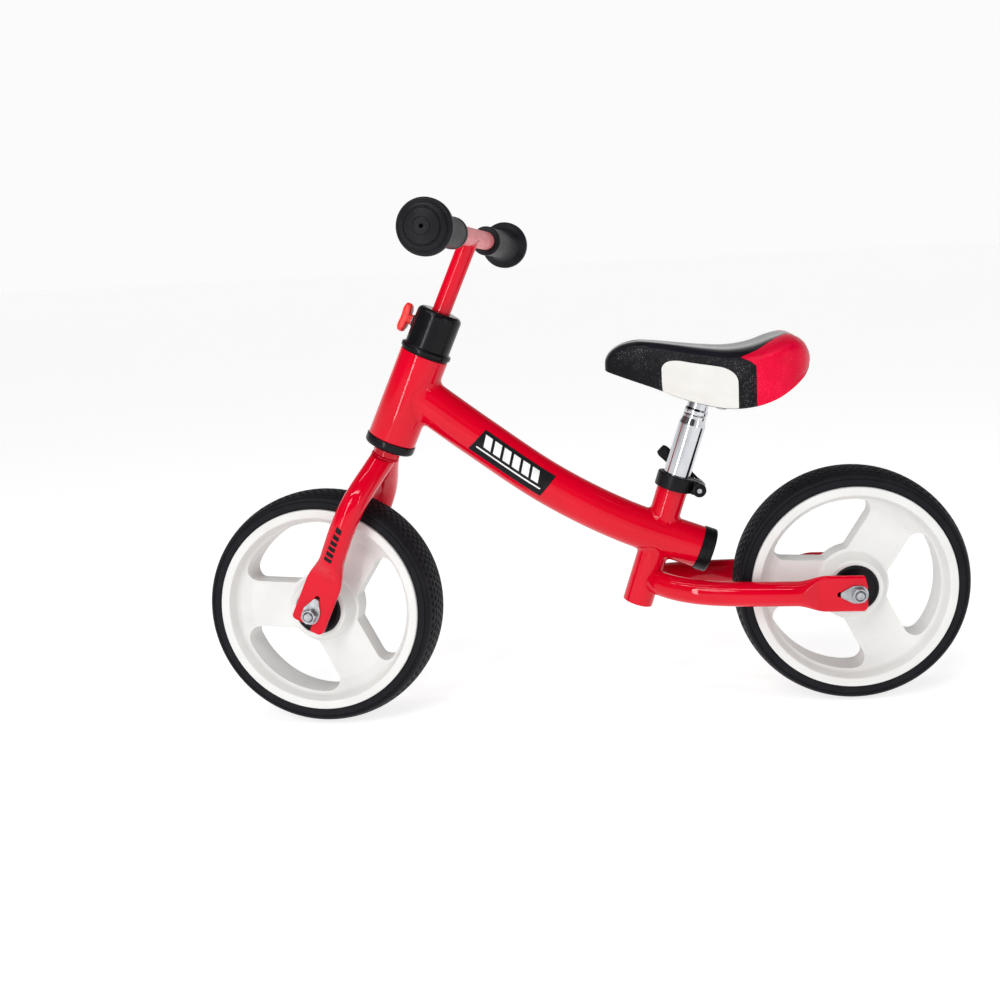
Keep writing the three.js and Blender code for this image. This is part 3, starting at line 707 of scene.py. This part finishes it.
def chainstay(side, sign):
    bend = [
        (-67, 0, 134.5), (-78, 16, 133), (-97, 30, 130.5), (-122, 39.5, 128.4), (-155, 44.5, 126.9),
        (-205, LEG_Y, 125.6), (-214, LEG_Y, 125.3),
    ]
    flat = [(-214, LEG_Y, 125.3), (-240, LEG_Y, 124.1), (-285.5, LEG_Y, 122.6)]
    shape = flipped(blade(bend, flat, (0, 0, 1), 0.42), sign)
    outline = rounded([(-285.3, 103.4, 9), (-285.3, 130, 2), (-282, 143.4, 6), (-40, 160), (-40, 90)], 8)
    keep = [flipped(slab(outline, -1, 70), sign)]
    cuts = [flipped(moved(c, shift(-WHEELBASE / 2, 0, TYRE_R)), sign) for c in slot_cutters()]
    lean = shift(*SEAT_AT) @ turn("Y", -SEAT_DEG) @ ALONG_Z
    room = lathe([(0, -180), (SEAT_R + 0.1, -180), (SEAT_R + 0.1, 60), (0, 60)], 72)
    cuts.append(moved(room, lean))
    dress(f"chainstay_{side}", shape, BIKE, edge_mm=0.5, cuts=cuts, keep=keep, angle=42)


def frame_tubes():
    main = smooth_path(MAIN_POINTS, 72)
    dress("main_tube", sweep(main, (MAIN_R, MAIN_R), (0, 1, 0), 56), BIKE)
    cap_r = 23.2
    cap = rounded([
        (0, -12), (MAIN_BORE - 2, -12), (MAIN_BORE - 2, 0.3), (cap_r, 0.3, 0.5), (cap_r, 6.6, 0.5),
        (22.5, 7.2, 0.4), (cap_r, 7.8, 0.5), (cap_r, 13.9, 2.6), (12, 14.0, 0.6), (11, 13.2, 0.5), (0, 13.2),
    ], 6)
    end, before = main[-1], main[-4]
    lean = math.degrees(math.atan2(before[2] - end[2], end[0] - before[0]))
    dress("main_tube_cap", lathe(cap, 80), BIKE @ shift(*end) @ turn("Y", lean) @ ALONG_X)
    bore = 22.6
    head = rounded([(bore, HEAD_FROM), (HEAD_R, HEAD_FROM, 0.8), (HEAD_R, HEAD_TO, 0.8), (bore, HEAD_TO)], 4)
    dress("head_tube", lathe(head, 96), HEAD @ ALONG_Z)
    seat_tube = tube_outline(SEAT_BORE, SEAT_R, SEAT_FROM, SEAT_TO, 0.8)
    dress("seat_tube", lathe(seat_tube, 72), SEAT @ ALONG_Z)
    for side, sign in SIDES:
        chainstay(side, sign)
    toward = np.array(MAIN_POINTS[0]) - main[12]
    weld("head_weld", meeting(main[12], toward, MAIN_R, HEAD_AT, HEAD_AXIS, HEAD_R), 6, BIKE)
    cross = min(range(len(main)), key=lambda i: norm(main[i] - np.array((-78.9, 0, 186))))
    along = main[cross + 2] - main[cross - 2]
    for name, far in (("seat_weld_upper", False), ("seat_weld_lower", True)):
        weld(name, meeting(SEAT_AT, -np.array(SEAT_AXIS), SEAT_R, main[cross], along, MAIN_R, far), 4.5, BIKE)


# ------------------------------------------------------------------ headset, fork and handlebar
def headset():
    hole, plug, gap = STEERER_R + 0.25, 22.3, 0.3
    cup = rounded([
        (hole, 181, 0.6), (18, 181, 2), (26, 183.2, 4), (26, HEAD_FROM - gap, 0.5), (plug, HEAD_FROM - gap),
        (plug, 207), (hole, 207),
    ], 7)
    dress("lower_headset_cup", lathe(cup, 96), HEAD @ ALONG_Z, GLOSS_BLACK)
    bush = rounded([
        (hole, 271), (plug, 271), (plug, HEAD_TO + gap), (24.6, HEAD_TO + gap, 0.3), (24.6, HEAD_TO + 2, 0.5),
        (hole, HEAD_TO + 2),
    ], 3)
    dress("upper_headset_bush", lathe(bush, 80), HEAD @ ALONG_Z)


def collar_outline():
    low, top, shelf, foot_r = HEAD_TO + 2.3, 334, STEERER_TO + 0.3, 26.3
    return rounded([
        (STEERER_R + 0.25, low), (foot_r, low, 0.9), (foot_r, low + 4.4, 1.8), (23.3, low + 5.6, 1.2),
        (23.1, top, 5.5), (STEERER_BORE, top + 0.2, 0.6), (STEERER_BORE, shelf), (STEERER_R + 0.25, shelf),
    ], 8)


def knob_shape():
    """A two-winged thumb knob; its long way runs up the steering axis."""
    wing = rounded([
        (-15.6, 0, 4), (-13, 6.4, 5), (-5, 6.1, 5), (0, 5.0), (5, 6.1, 5), (13, 6.4, 5),
        (15.6, 0, 4), (13, -6.4, 5), (5, -6.1, 5), (0, -5.0), (-5, -6.1, 5), (-13, -6.4, 5),
    ], 6)
    layers = (
        (28, 0.8), (28.9, 0.95), (30.4, 1.0), (33.6, 1.0), (35.2, 0.95), (36.2, 0.8), (36.6, 0.55),
        (36.7, 0.02),
    )
    rings = [[(28.2, y * 0.02, s * 0.02) for s, y in wing]]
    for t, grow in layers:
        rings.append([(t + 0.9 * (abs(s) / 15) ** 2, y * grow, s * grow) for s, y in wing])
    hub = lathe([(0, 24.3), (5.2, 24.3), (5.2, 26.5), (6.0, 28.5), (6.0, 31), (0, 31)], 40)
    return merged(rings_to_mesh(rings), moved(hub, ALONG_X))


def fork():
    tube = [
        (STEERER_BORE, STEERER_FROM), (STEERER_R, STEERER_FROM), (STEERER_R, STEERER_TO),
        (STEERER_BORE, STEERER_TO),
    ]
    dress("steerer_tube", lathe(rounded(tube), 72), TURNED @ ALONG_Z)
    for side, sign in SIDES:
        fork_leg(side, sign)
    ring = [(x, y, STEERER_FROM) for x, y in circle(12.9, range(0, 360, 6))]
    bead("crown_weld", ring, TURNED, "fork", 1.8)
    down = unit((0, 20, -19))
    side = np.cross(down, (1, 0, 0))
    seam = []
    for a in np.radians(np.arange(0, 360, 6)):
        base = np.array((0, 0, 177)) + LEG_R * (math.cos(a) * np.array((1, 0, 0)) + math.sin(a) * side)
        seam.append(base - down * base[1] / down[1])
    inside = lathe([(0, 171), (STEERER_R, 171), (STEERER_R, 230), (0, 230)], 72)
    carve(bead("crown_seam", seam, TURNED, "fork", 1.5), TURNED @ ALONG_Z, inside)
    dress("steering_collar", lathe(collar_outline(), 96), TURNED @ ALONG_Z, GLOSS_BLACK)
    place = TURNED @ shift(0, 0, KNOB_UP)
    dress("clamp_knob", knob_shape(), place, angle=50)
    carry_over("clamp_screw")
    washer = rounded([(3.4, 23.5, 0.2), (6.6, 23.5, 0.3), (6.6, 24.2, 0.3), (3.4, 24.2, 0.2)], 3)
    add("knob_washer", lathe(washer, 40), place @ ALONG_X, "knob", ZINC)


def grip_outline():
    hole, start, end = STEM_R + 0.25, 67, BAR_HALF + 0.6
    return rounded([
        (hole, start), (14.2, start, 1.2), (15.4, start + 1.8, 1), (15.4, start + 6, 0.8),
        (14.9, start + 7, 0.8), (14.9, 136, 12), (18, 152, 6), (25.7, 158.4, 2.2), (25.7, 164, 2.2),
        (23.6, 166.9, 1.2),
        (22.9, 165.7, 0.5), (21.8, 166.0, 0.5), (21.0, 168.4, 1.2), (17.6, 170.3, 1), (17.0, 169.2, 0.4),
        (16.2, 169.4, 0.4), (15.6, 171.5, 1), (8.4, 173.2, 1), (7.9, 172.6, 0.3), (7.4, 173.4, 0.6),
        (1.8, 173.9, 0.5), (1.8, end), (hole, end),
    ], 6)


def handlebar():
    bar = rounded([(STEM_BORE, -BAR_HALF), (STEM_R, -BAR_HALF), (STEM_R, BAR_HALF), (STEM_BORE, BAR_HALF)])
    place = TURNED @ shift(0, 0, BAR_UP)
    dress("crossbar", lathe(bar, 64), place, RUBBED)
    top = BAR_UP - 2
    stem = rounded([(STEM_BORE, STEM_FROM), (STEM_R, STEM_FROM), (STEM_R, top), (STEM_BORE, top)])
    dress("handlebar_stem", lathe(stem, 64), TURNED @ ALONG_Z)
    joint = meeting((0, 0, BAR_UP - 60), (0, 0, 1), STEM_R, (0, 0, BAR_UP), (0, 1, 0), STEM_R + 0.2)
    weld("bar_weld", joint, 2.6, TURNED, "handlebar")
    for side, sign in SIDES:
        dress(f"grip_{side}", flipped(lathe(grip_outline(), 96), sign), place)


# ------------------------------------------------------------------ seat post, collar and lever
def seat_post():
    neck, to = POST_NECK, POST_TO
    outline = rounded([
        (POST_BORE, POST_FROM), (POST_R, POST_FROM, 0.5), (POST_R, neck, 3), (12.3, neck + 7, 1.5),
        (12.3, neck + 10, 0.6), (11.6, neck + 11, 0.4), (12.4, neck + 12, 0.4), (12.4, neck + 15.4, 0.8),
        (11.1, neck + 17.5, 1), (11.1, to, 0.5), (9.6, to), (9.6, neck + 6), (POST_BORE, neck - 4),
    ], 5)
    dress("seat_post", lathe(outline, 96), SEAT @ ALONG_Z)


def seat_collar():
    ring = rounded([
        (SEAT_R + 0.3, 0.5), (19.6, 0.5, 0.8), (19.6, 15.5, 1.6), (POST_R + 0.35, 15.5, 0.6),
        (POST_R + 0.35, SEAT_TO + 0.3), (SEAT_R + 0.3, SEAT_TO + 0.3),
    ], 5)
    x, z = SKEWER
    obj = mesh_object("seat_collar_look", lathe(ring, 96), SEAT @ ALONG_Z)
    carve(obj, SEAT, block(-40, -10, -1.5, 1.5, -5, 30))
    ear_r = 7.2
    ear = circle(ear_r, range(90, 271, 10), x, z) + [(-18.5, z - ear_r), (-18.5, z + ear_r)]
    dress("seat_collar", obj, SEAT)
    for side, sign in SIDES:
        shape = flipped(slab(ear, 1.5, 9), sign)
        add(f"collar_ear_{side}", shape, SEAT, "frame", BLACK, 0.7)
    cap = [(0, 9.3), (ear_r, 9.3, 0.3), (ear_r, 14.6, 1.4), (4.6, 15.2, 0.5), (4.2, 14.4, 0.3), (0, 14.4)]
    dress("collar_skewer_nut", lathe(rounded(cap, 4), 56), SEAT @ shift(x, 0, z))
    washer = rounded([(2.8, -10.3), (6.6, -10.3, 0.3), (6.6, -9.3, 0.3), (2.8, -9.3)], 3)
    add("collar_cam_washer", lathe(washer, 48), SEAT @ shift(x, 0, z), "frame", ZINC)
    carry_over("collar_skewer")
    carry_over("collar_lever_pin")


def lever():
    """A cam lever that hugs the post: it thins from its cam to a broad, rounded thumb end."""
    x, z = SKEWER
    place = SEAT @ shift(x, -15.4, z) @ turn("Y", -LEVER_DEG)
    path = smooth_path([(0, 0, -2.6), (10, 0, -6), (24, 0, -9.6), (40, 0, -11.2), (54.4, 0, -11.6)], 36)
    count, squareness, tip = 28, 0.45, 0.9
    t = np.arange(count) / count * 2 * math.pi
    cy, cz = (np.sign(wave) * np.abs(wave) ** squareness for wave in (np.cos(t), np.sin(t)))
    rings = []
    for i, (px, _, py) in enumerate(path):
        share = i / (len(path) - 1)
        wide, thick = 5.4 + 1.4 * share, 2.0 - 0.5 * share
        if share > tip:
            wide *= math.sqrt(max(1 - ((share - tip) / 0.1) ** 2 * 0.55, 0.05))
        rings.append([(px, py + thick * a, wide * b) for a, b in zip(cy, cz)])
    obj = mesh_object("collar_lever_look", rings_to_mesh(rings), place)
    carve(obj, place, block(-8, 7.5, -8, 8, -2.9, 2.9))
    cam = lathe(rounded([(2.2, 2.9), (5.8, 2.9, 0.4), (5.8, 6.3, 0.9), (2.2, 6.3, 0.3)], 4), 48)
    for side, sign in SIDES:
        add(f"lever_cam_{side}", flipped(cam, sign), place @ ALONG_Z, "collar_lever", ZINC)
    dress("collar_lever", obj, place, GLOSS_BLACK, angle=55)


# ------------------------------------------------------------------ saddle
# Stations from nose to tail: X, half width, crest, height of the rolled shoulder, bottom of the skirt.
SADDLE = smooth_path([
    (-30.2, 4, 362.5, 360.5, 357.5), (-32, 10, 370, 364, 356), (-37, 15.5, 376.5, 369, 354),
    (-46, 20, 382.2, 374, 350.5), (-58, 24, 385, 377.6, 346), (-80, 30, 383.6, 375, 338),
    (-105, 39, 380, 370, 328), (-130, 49, 376.6, 366, 321), (-155, 58, 374.6, 363, 317.5),
    (-180, 64, 377.6, 364, 320), (-199, 65, 384, 368, 326.5), (-214, 60, 387, 369.4, 335.5),
    (-226.5, 48, 381.6, 366.4, 345), (-233.6, 30, 372, 361.6, 352), (-236.6, 12, 363.5, 358.6, 355.4),
    (-237.2, 1.2, 359, 358.2, 357.4),
], 260)
SKIRT_SHARE = 0.27
PAD_GRID = (73, 104)
SWELL_CAP_MM, SWELL_STEPS, HEM_ROWS = 1.2, 20, 3
RED_PAD_FROM, TAIL_END = -222, -237.15


def folded(s):
    """How far up the skin a share s is: 0 at either hem, 0.5 at the crest."""
    return s if s <= 0.5 else 1 - s


def saddle_station(x):
    return [np.interp(-x, -SADDLE[:, 0], SADDLE[:, k]) for k in (1, 2, 3, 4)]


def saddle_point(x, s, inset=0.0, sink=0.0):
    """A point of the skin: s runs from the left hem (0) over the crest (0.5) to the right hem (1)."""
    half, top, edge, low = saddle_station(x)
    half, top = max(half - inset, half * 0.3), max(top - sink, low + 2)
    edge = max(edge - sink * 0.6, low + 1.4)
    side, q = (1 if s <= 0.5 else -1), folded(s)
    if q < SKIRT_SHARE:
        up = q / SKIRT_SHARE
        tuck = max(half - 3.5, half * 0.75)
        y = tuck + (half - tuck) * math.sin(up * math.pi / 2)
        return x, side * y, low + (edge - low) * up
    t = (q - SKIRT_SHARE) / (0.5 - SKIRT_SHARE) * math.pi / 2
    y = half * math.cos(t) ** 0.8
    dish = 0 if inset else 1.6 * math.exp(-((y / (0.42 * half)) ** 2)) * min(half / 50, 1)
    return x, side * y, edge + (top - edge) * math.sin(t) ** 0.72 - dish


def pad_shape():
    """The cushion, hollow underneath: an outer skin, an inner one, and the hem between them."""
    rows, columns = PAD_GRID
    run = SADDLE[np.linspace(0, len(SADDLE) - 1, columns).round().astype(int), 0]
    share = np.linspace(0, 1, rows)
    middle = (run[0] + run[-1]) / 2
    outer = [[saddle_point(x, s) for s in share] for x in run]
    inner = [[saddle_point(middle + (x - middle) * 0.93, s, 8, 13) for s in share] for x in run]
    for ring, x in zip(inner, run):
        low = saddle_station(x)[3] + 0.2
        ring[0], ring[-1] = (*ring[0][:2], low), (*ring[-1][:2], low)
    points = [p for sheet in (outer, inner) for ring in sheet for p in ring]
    at = lambda sheet, i, k: sheet * rows * columns + i * rows + k
    faces = []
    for i in range(columns - 1):
        for k in range(rows - 1):
            faces.append([at(0, i, k), at(0, i, k + 1), at(0, i + 1, k + 1), at(0, i + 1, k)])
            faces.append([at(1, i, k), at(1, i + 1, k), at(1, i + 1, k + 1), at(1, i, k + 1)])
    edge = [(i, 0) for i in range(columns)] + [(columns - 1, k) for k in range(1, rows)]
    edge += [(i, rows - 1) for i in range(columns - 2, -1, -1)] + [(0, k) for k in range(rows - 2, 0, -1)]
    for (i, k), (j, m) in zip(edge, edge[1:] + edge[:1]):
        faces.append([at(0, i, k), at(0, j, m), at(1, j, m), at(1, i, k)])
    return points, faces


def plump(obj, sewn):
    """Lets the outer skin swell like stuffed cloth: the sewn points stay, none moves past the cap."""
    group = obj.vertex_groups.new(name="sewn")
    group.add(sewn, 1.0, "REPLACE")
    still = np.array([v.co for v in obj.data.vertices])
    cloth = obj.modifiers.new("swell", "CLOTH")
    cloth.settings.vertex_group_mass = "sewn"
    cloth.settings.use_pressure = True
    cloth.settings.uniform_pressure_force = 4
    cloth.settings.effector_weights.gravity = 0
    cloth.settings.tension_stiffness = cloth.settings.compression_stiffness = 25
    cloth.settings.bending_stiffness = 4
    for step in range(1, SWELL_STEPS + 1):
        bpy.context.scene.frame_set(step)
    apply_modifiers(obj)
    obj.vertex_groups.clear()
    swell = np.array([v.co for v in obj.data.vertices]) - still
    length = norm(swell, axis=1, keepdims=True)
    swell *= np.minimum(1, SWELL_CAP_MM / 1000 / np.maximum(length, 1e-9))
    for v, p in zip(obj.data.vertices, still + swell):
        v.co = p
    bpy.context.scene.frame_set(1)
    m = obj.modifiers.new("smooth", "SUBSURF")
    m.levels = m.render_levels = 1
    apply_modifiers(obj)


def red_front(q):
    """How far forward the red tail starts, at a share q of the way from hem (0) to crest (0.5)."""
    return float(np.interp(q, (0, 0.25, 0.33, 0.5), (-178, -178, -163, -228)))


def panel(name, rows, material, pad, lift_mm=0.45):
    """A skin piece laid on the cushion: rows of points, pressed down on the pad and thickened."""
    height, width = len(rows), len(rows[0])
    points = [BIKE @ Vector(p) for row in rows for p in row]
    tree = BVHTree.FromObject(pad, bpy.context.evaluated_depsgraph_get())
    laid = []
    for p in points:
        at, normal, _, _ = tree.find_nearest(p)
        laid.append(at + normal * lift_mm / 1000)
    corners = [i * width + k for i in range(height - 1) for k in range(width - 1)]
    faces = [[a, a + width, a + width + 1, a + 1] for a in corners]
    obj = mesh_object(name, (laid, faces), Matrix.Identity(4))
    m = obj.modifiers.new("relax", "SMOOTH")
    m.factor, m.iterations = 0.5, 3
    apply_modifiers(obj)
    first = tree.find_nearest(obj.data.vertices[0].co)
    same = obj.data.vertex_normals[0].vector.dot(first[1]) > 0
    m = obj.modifiers.new("thick", "SOLIDIFY")
    m.thickness, m.offset = 0.0012, (-1 if same else 1)
    apply_modifiers(obj)
    add(name, obj, None, "saddle", material, 0.3)


def saddle():
    # The last colour given to each grained vinyl is a painted glint on its pebble tops, and the light colour
    # is partly painted highlight.
    vinyl = grained("black_grained_vinyl", (0.002, 0.002, 0.003), (0.007, 0.007, 0.009), (0.08, 0.08, 0.085))
    glossy = smooth_vinyl("black_glossy_vinyl", (0.006, 0.006, 0.009), (0.014, 0.014, 0.02), 0.16)
    white = smooth_vinyl("white_vinyl", (0.66, 0.65, 0.62), (0.72, 0.71, 0.685), 0.34)
    red = grained("red_grained_vinyl", (0.60, 0.0, 0.025), (0.76, 0.002, 0.042), (0.84, 0.03, 0.08), 0.3)
    pad = mesh_object("saddle_pad_look", pad_shape(), BIKE)
    rows, columns = PAD_GRID
    hem = [*range(HEM_ROWS), *range(rows - HEM_ROWS, rows)]
    outer = [i * rows + k for i in range(columns) for k in hem]
    plump(pad, outer + list(range(rows * columns, 2 * rows * columns)))
    dress("saddle_pad", pad, BIKE, vinyl)
    pad.data.materials.append(red)
    tail = (BIKE @ Vector((RED_PAD_FROM, 0, 0))).x
    for face in pad.data.polygons:
        face.material_index = int(face.center.x < tail)
    hem_share = 0.004
    grid = lambda xs, qs: [[saddle_point(x, q) for x in xs(q)] for q in qs]
    for side, sign in SIDES:
        reach = lambda q: q if sign > 0 else 1 - q
        front, back, height, corner, corner_mm = -87.5, -161, 0.248, 0.085, 19

        def white_xs(s):
            over = max(0, (folded(s) - (height - corner)) / corner)
            inset = corner_mm * (1 - math.sqrt(max(1 - over * over, 0)))
            return np.linspace(front - inset, back + inset, 60)

        arc = height - corner * (1 - np.sin(np.linspace(0.05, math.pi / 2 * 0.99, 14)))
        rows = [reach(q) for q in np.concatenate([np.linspace(hem_share, height - corner, 16), arc])]
        panel(f"saddle_panel_white_{side}", grid(white_xs, rows), white, pad)
    tail_xs = lambda s: np.linspace(red_front(folded(s)), TAIL_END, 70)
    panel("saddle_tail_red", grid(tail_xs, np.linspace(hem_share, 1 - hem_share, 150)), red, pad, 0.5)
    top_xs = lambda s: np.linspace(-31.2, red_front(folded(s)) + 0.9, 150)
    panel("saddle_top_black", grid(top_xs, np.linspace(0.315, 0.685, 64)), glossy, pad, 0.5)
    for node in ("saddle_pan", "saddle_rail_left", "saddle_rail_right", "saddle_clamp", "saddle_clamp_bolt"):
        carry_over(node)
    for side, _ in SIDES:
        carry_over(f"saddle_clamp_cheek_{side}")


# ------------------------------------------------------------------ labels
def tube_patch(path, r, up, first, last, low_deg, high_deg, slant=0.0, lift=0.22, across=14):
    """A strip of film on a swept tube, between two places along its path and two angles round it."""
    path = np.array(path, float)
    up = np.array(up, float)
    run = np.concatenate([[0], np.cumsum(norm(np.diff(path, axis=0), axis=1))])
    count = max(3, int((last - first) / 2))
    top = []
    for h in np.linspace(0, 1, across):
        for share in np.linspace(0, 1, count):
            d = first + (last - first) * share + slant * (h - 0.5)
            at = np.array([np.interp(d, run, path[:, k]) for k in range(3)])
            ahead = np.array([np.interp(d + 1, run, path[:, k]) for k in range(3)])
            along = unit(ahead - at)
            out = unit(up - along * (up @ along))
            lift_way = np.cross(out, along)
            a = math.radians(low_deg + (high_deg - low_deg) * h)
            top.append(at + (r + lift) * (math.cos(a) * out + math.sin(a) * lift_way))
    corners = [i * count + k for i in range(across - 1) for k in range(count - 1)]
    return top, [[a, a + 1, a + 1 + count, a + count] for a in corners]


def film(name, shape, place, body, material):
    obj = mesh_object(name, shape, place)
    m = obj.modifiers.new("thick", "SOLIDIFY")
    m.thickness, m.offset = 0.0002, 0
    apply_modifiers(obj)
    add(name, obj, None, body, material)


def labels():
    """A plain black label with pale bars on the main tube, and dark bars on each fork leg: no lettering."""
    ink = print_film("black_film", (0.006, 0.006, 0.007), (0.012, 0.012, 0.014))
    pale = print_film("white_film", (0.72, 0.72, 0.71), (0.84, 0.84, 0.83))
    main = smooth_path(MAIN_POINTS, 120)
    leg = smooth_path([(0, 50.4, 66), (0, 53.5, 82), (0, 55.5, 102), (0, 51, 123)], 40)
    bar_lift = 0.45
    for side, sign in SIDES:
        for k in range(6):
            bar = tube_patch(leg, LEG_R, (0, 1, 0), 1 + 6.2 * k, 5 + 6.2 * k, -16, 22 - 2 * k, slant=1.5)
            film(f"leg_bar_{side}_{k + 1}", flipped(bar, sign), TURNED, "fork", ink)
        patch = lambda *a, **k: flipped(tube_patch(main, MAIN_R, (0, 1, 0), *a, **k), sign)
        film(f"label_{side}", patch(82.5, 169.5, -33, 38, slant=4), BIKE, "frame", ink)
        for k in range(6):
            start = 90 + 11.6 * k
            bar = patch(start, start + 8.4, -4, 27, slant=-5, lift=bar_lift)
            film(f"label_bar_{side}_{k + 1}", bar, BIKE, "frame", pale)
        line = patch(86, 164, -15.5, -11.5, lift=bar_lift, across=4)
        film(f"label_line_{side}", line, BIKE, "frame", pale)


# ------------------------------------------------------------------ floor, light and camera
def room_light():
    """A white backdrop round the horizon; above it, a dimmer room with bands on the rider's left."""
    world = bpy.data.worlds.new("studio")
    bpy.context.scene.world = world
    world.use_nodes = True
    tree = world.node_tree
    apart = add_node(tree, "SeparateXYZ", {0: add_node(tree, "TexCoord").outputs["Generated"]})

    def spread(axis, low, high, start=0.0, end=1.0):
        inputs = {"Value": apart.outputs[axis], "From Min": low, "From Max": high}
        inputs.update({"To Min": start, "To Max": end})
        return add_node(tree, "MapRange", inputs).outputs["Result"]

    stops = (
        (0.0, 0.5), (0.13, 0.45), (0.18, 0.08), (0.27, 0.15), (0.31, 0.7), (0.36, 0.7), (0.40, 0.1),
        (0.52, 0.18), (0.57, 0.5), (0.61, 0.5), (0.66, 0.08), (0.76, 0.15), (0.82, 0.7), (0.88, 0.6),
        (0.93, 0.25), (1.0, 0.5),
    )
    white = (0.965, 0.965, 0.965, 1)
    left, above = spread("Y", -0.8, -0.65), spread("Z", 0.14, 0.24)
    both = add_node(tree, "Math", {0: left, 1: above}, operation="MULTIPLY").outputs["Value"]
    inputs = {"Factor": both, "A": white, "B": ramp(tree, spread("X", -1, 1), stops)}
    blend = add_node(tree, "Mix", inputs, data_type="RGBA")
    background = tree.nodes["Background"]
    tree.links.new(blend.outputs["Result"], background.inputs["Color"])
    tree.links.new(spread("Z", 0.21, 0.32, 1.0, 0.28), background.inputs["Strength"])


AIM = Vector((0, 0, 0.22))


def lamp(name, kind, at, energy, **settings):
    """A lamp turned towards the middle of the bike."""
    data = bpy.data.lights.new(name, kind)
    data.energy = energy
    for key, value in settings.items():
        setattr(data, key, value)
    obj = bpy.data.objects.new(name, data)
    obj.location = at
    obj.rotation_euler = (AIM - Vector(at)).to_track_quat("-Z", "Y").to_euler()
    bpy.context.scene.collection.objects.link(obj)


def studio():
    bpy.context.scene.view_settings.view_transform = "Standard"
    room_light()
    s = Shader("pale_floor", specular_ior_level=0.1, emission_color=(1, 1, 1, 1), emission_strength=0.78)
    s.colour(s.noise(1.5, 2), (0.2, (0.54, 0.54, 0.54)), (0.8, (0.56, 0.56, 0.56)))
    s.rough(s.noise(6), 0.75, 0.9)
    reach = 40000
    floor = mesh_object("floor", block(-reach, reach, -reach, reach, -4, 0), Matrix.Scale(0.001, 4))
    floor.data.materials.append(s.material)
    lamp("sun", "SUN", (0.35, 1.1, 1.3), 0.6, angle=math.radians(20))
    for name, at, watts, wide, tall in (
        ("strip_high", (0.3, 0.75, 1.7), 8, 1.7, 0.13), ("strip_top", (0.0, 0.05, 2.0), 4, 1.7, 0.08),
        ("strip_front", (0.75, 1.5, 0.75), 9.5, 0.14, 1.5), ("strip_rear", (-1.3, 1.2, 0.7), 4, 0.08, 1.5),
    ):
        lamp(name, "AREA", at, watts, shape="RECTANGLE", size=wide, size_y=tall)


def camera():
    """Beside the bike, a little above it and level with the saddle, looking slightly down."""
    data = bpy.data.cameras.new("camera")
    data.lens, data.sensor_width = 42.75, 36
    data.shift_x, data.shift_y = -0.1001, -0.0458
    right = Vector((-0.998479, -0.019409, -0.051604))
    down = Vector((0.047499, 0.172384, -0.983884))
    ahead = Vector((0.027992, -0.984839, -0.1712))
    obj = bpy.data.objects.new("camera", data)
    facing = Matrix((right, -down, -ahead)).transposed().to_4x4()
    obj.matrix_world = Matrix.Translation(BIKE @ Vector((-55.3, 1211.4, 480.7))) @ facing
    bpy.context.scene.collection.objects.link(obj)
    bpy.context.scene.camera = obj


camera()
studio()
frame_tubes()
headset()
fork()
handlebar()
for end, hub in (("front", FRONT), ("rear", REAR)):
    wheel(end, hub)
axle_set("front", TURNED @ turn("Y", -90))
axle_set("rear", REAR)
seat_post()
seat_collar()
lever()
saddle()
labels()
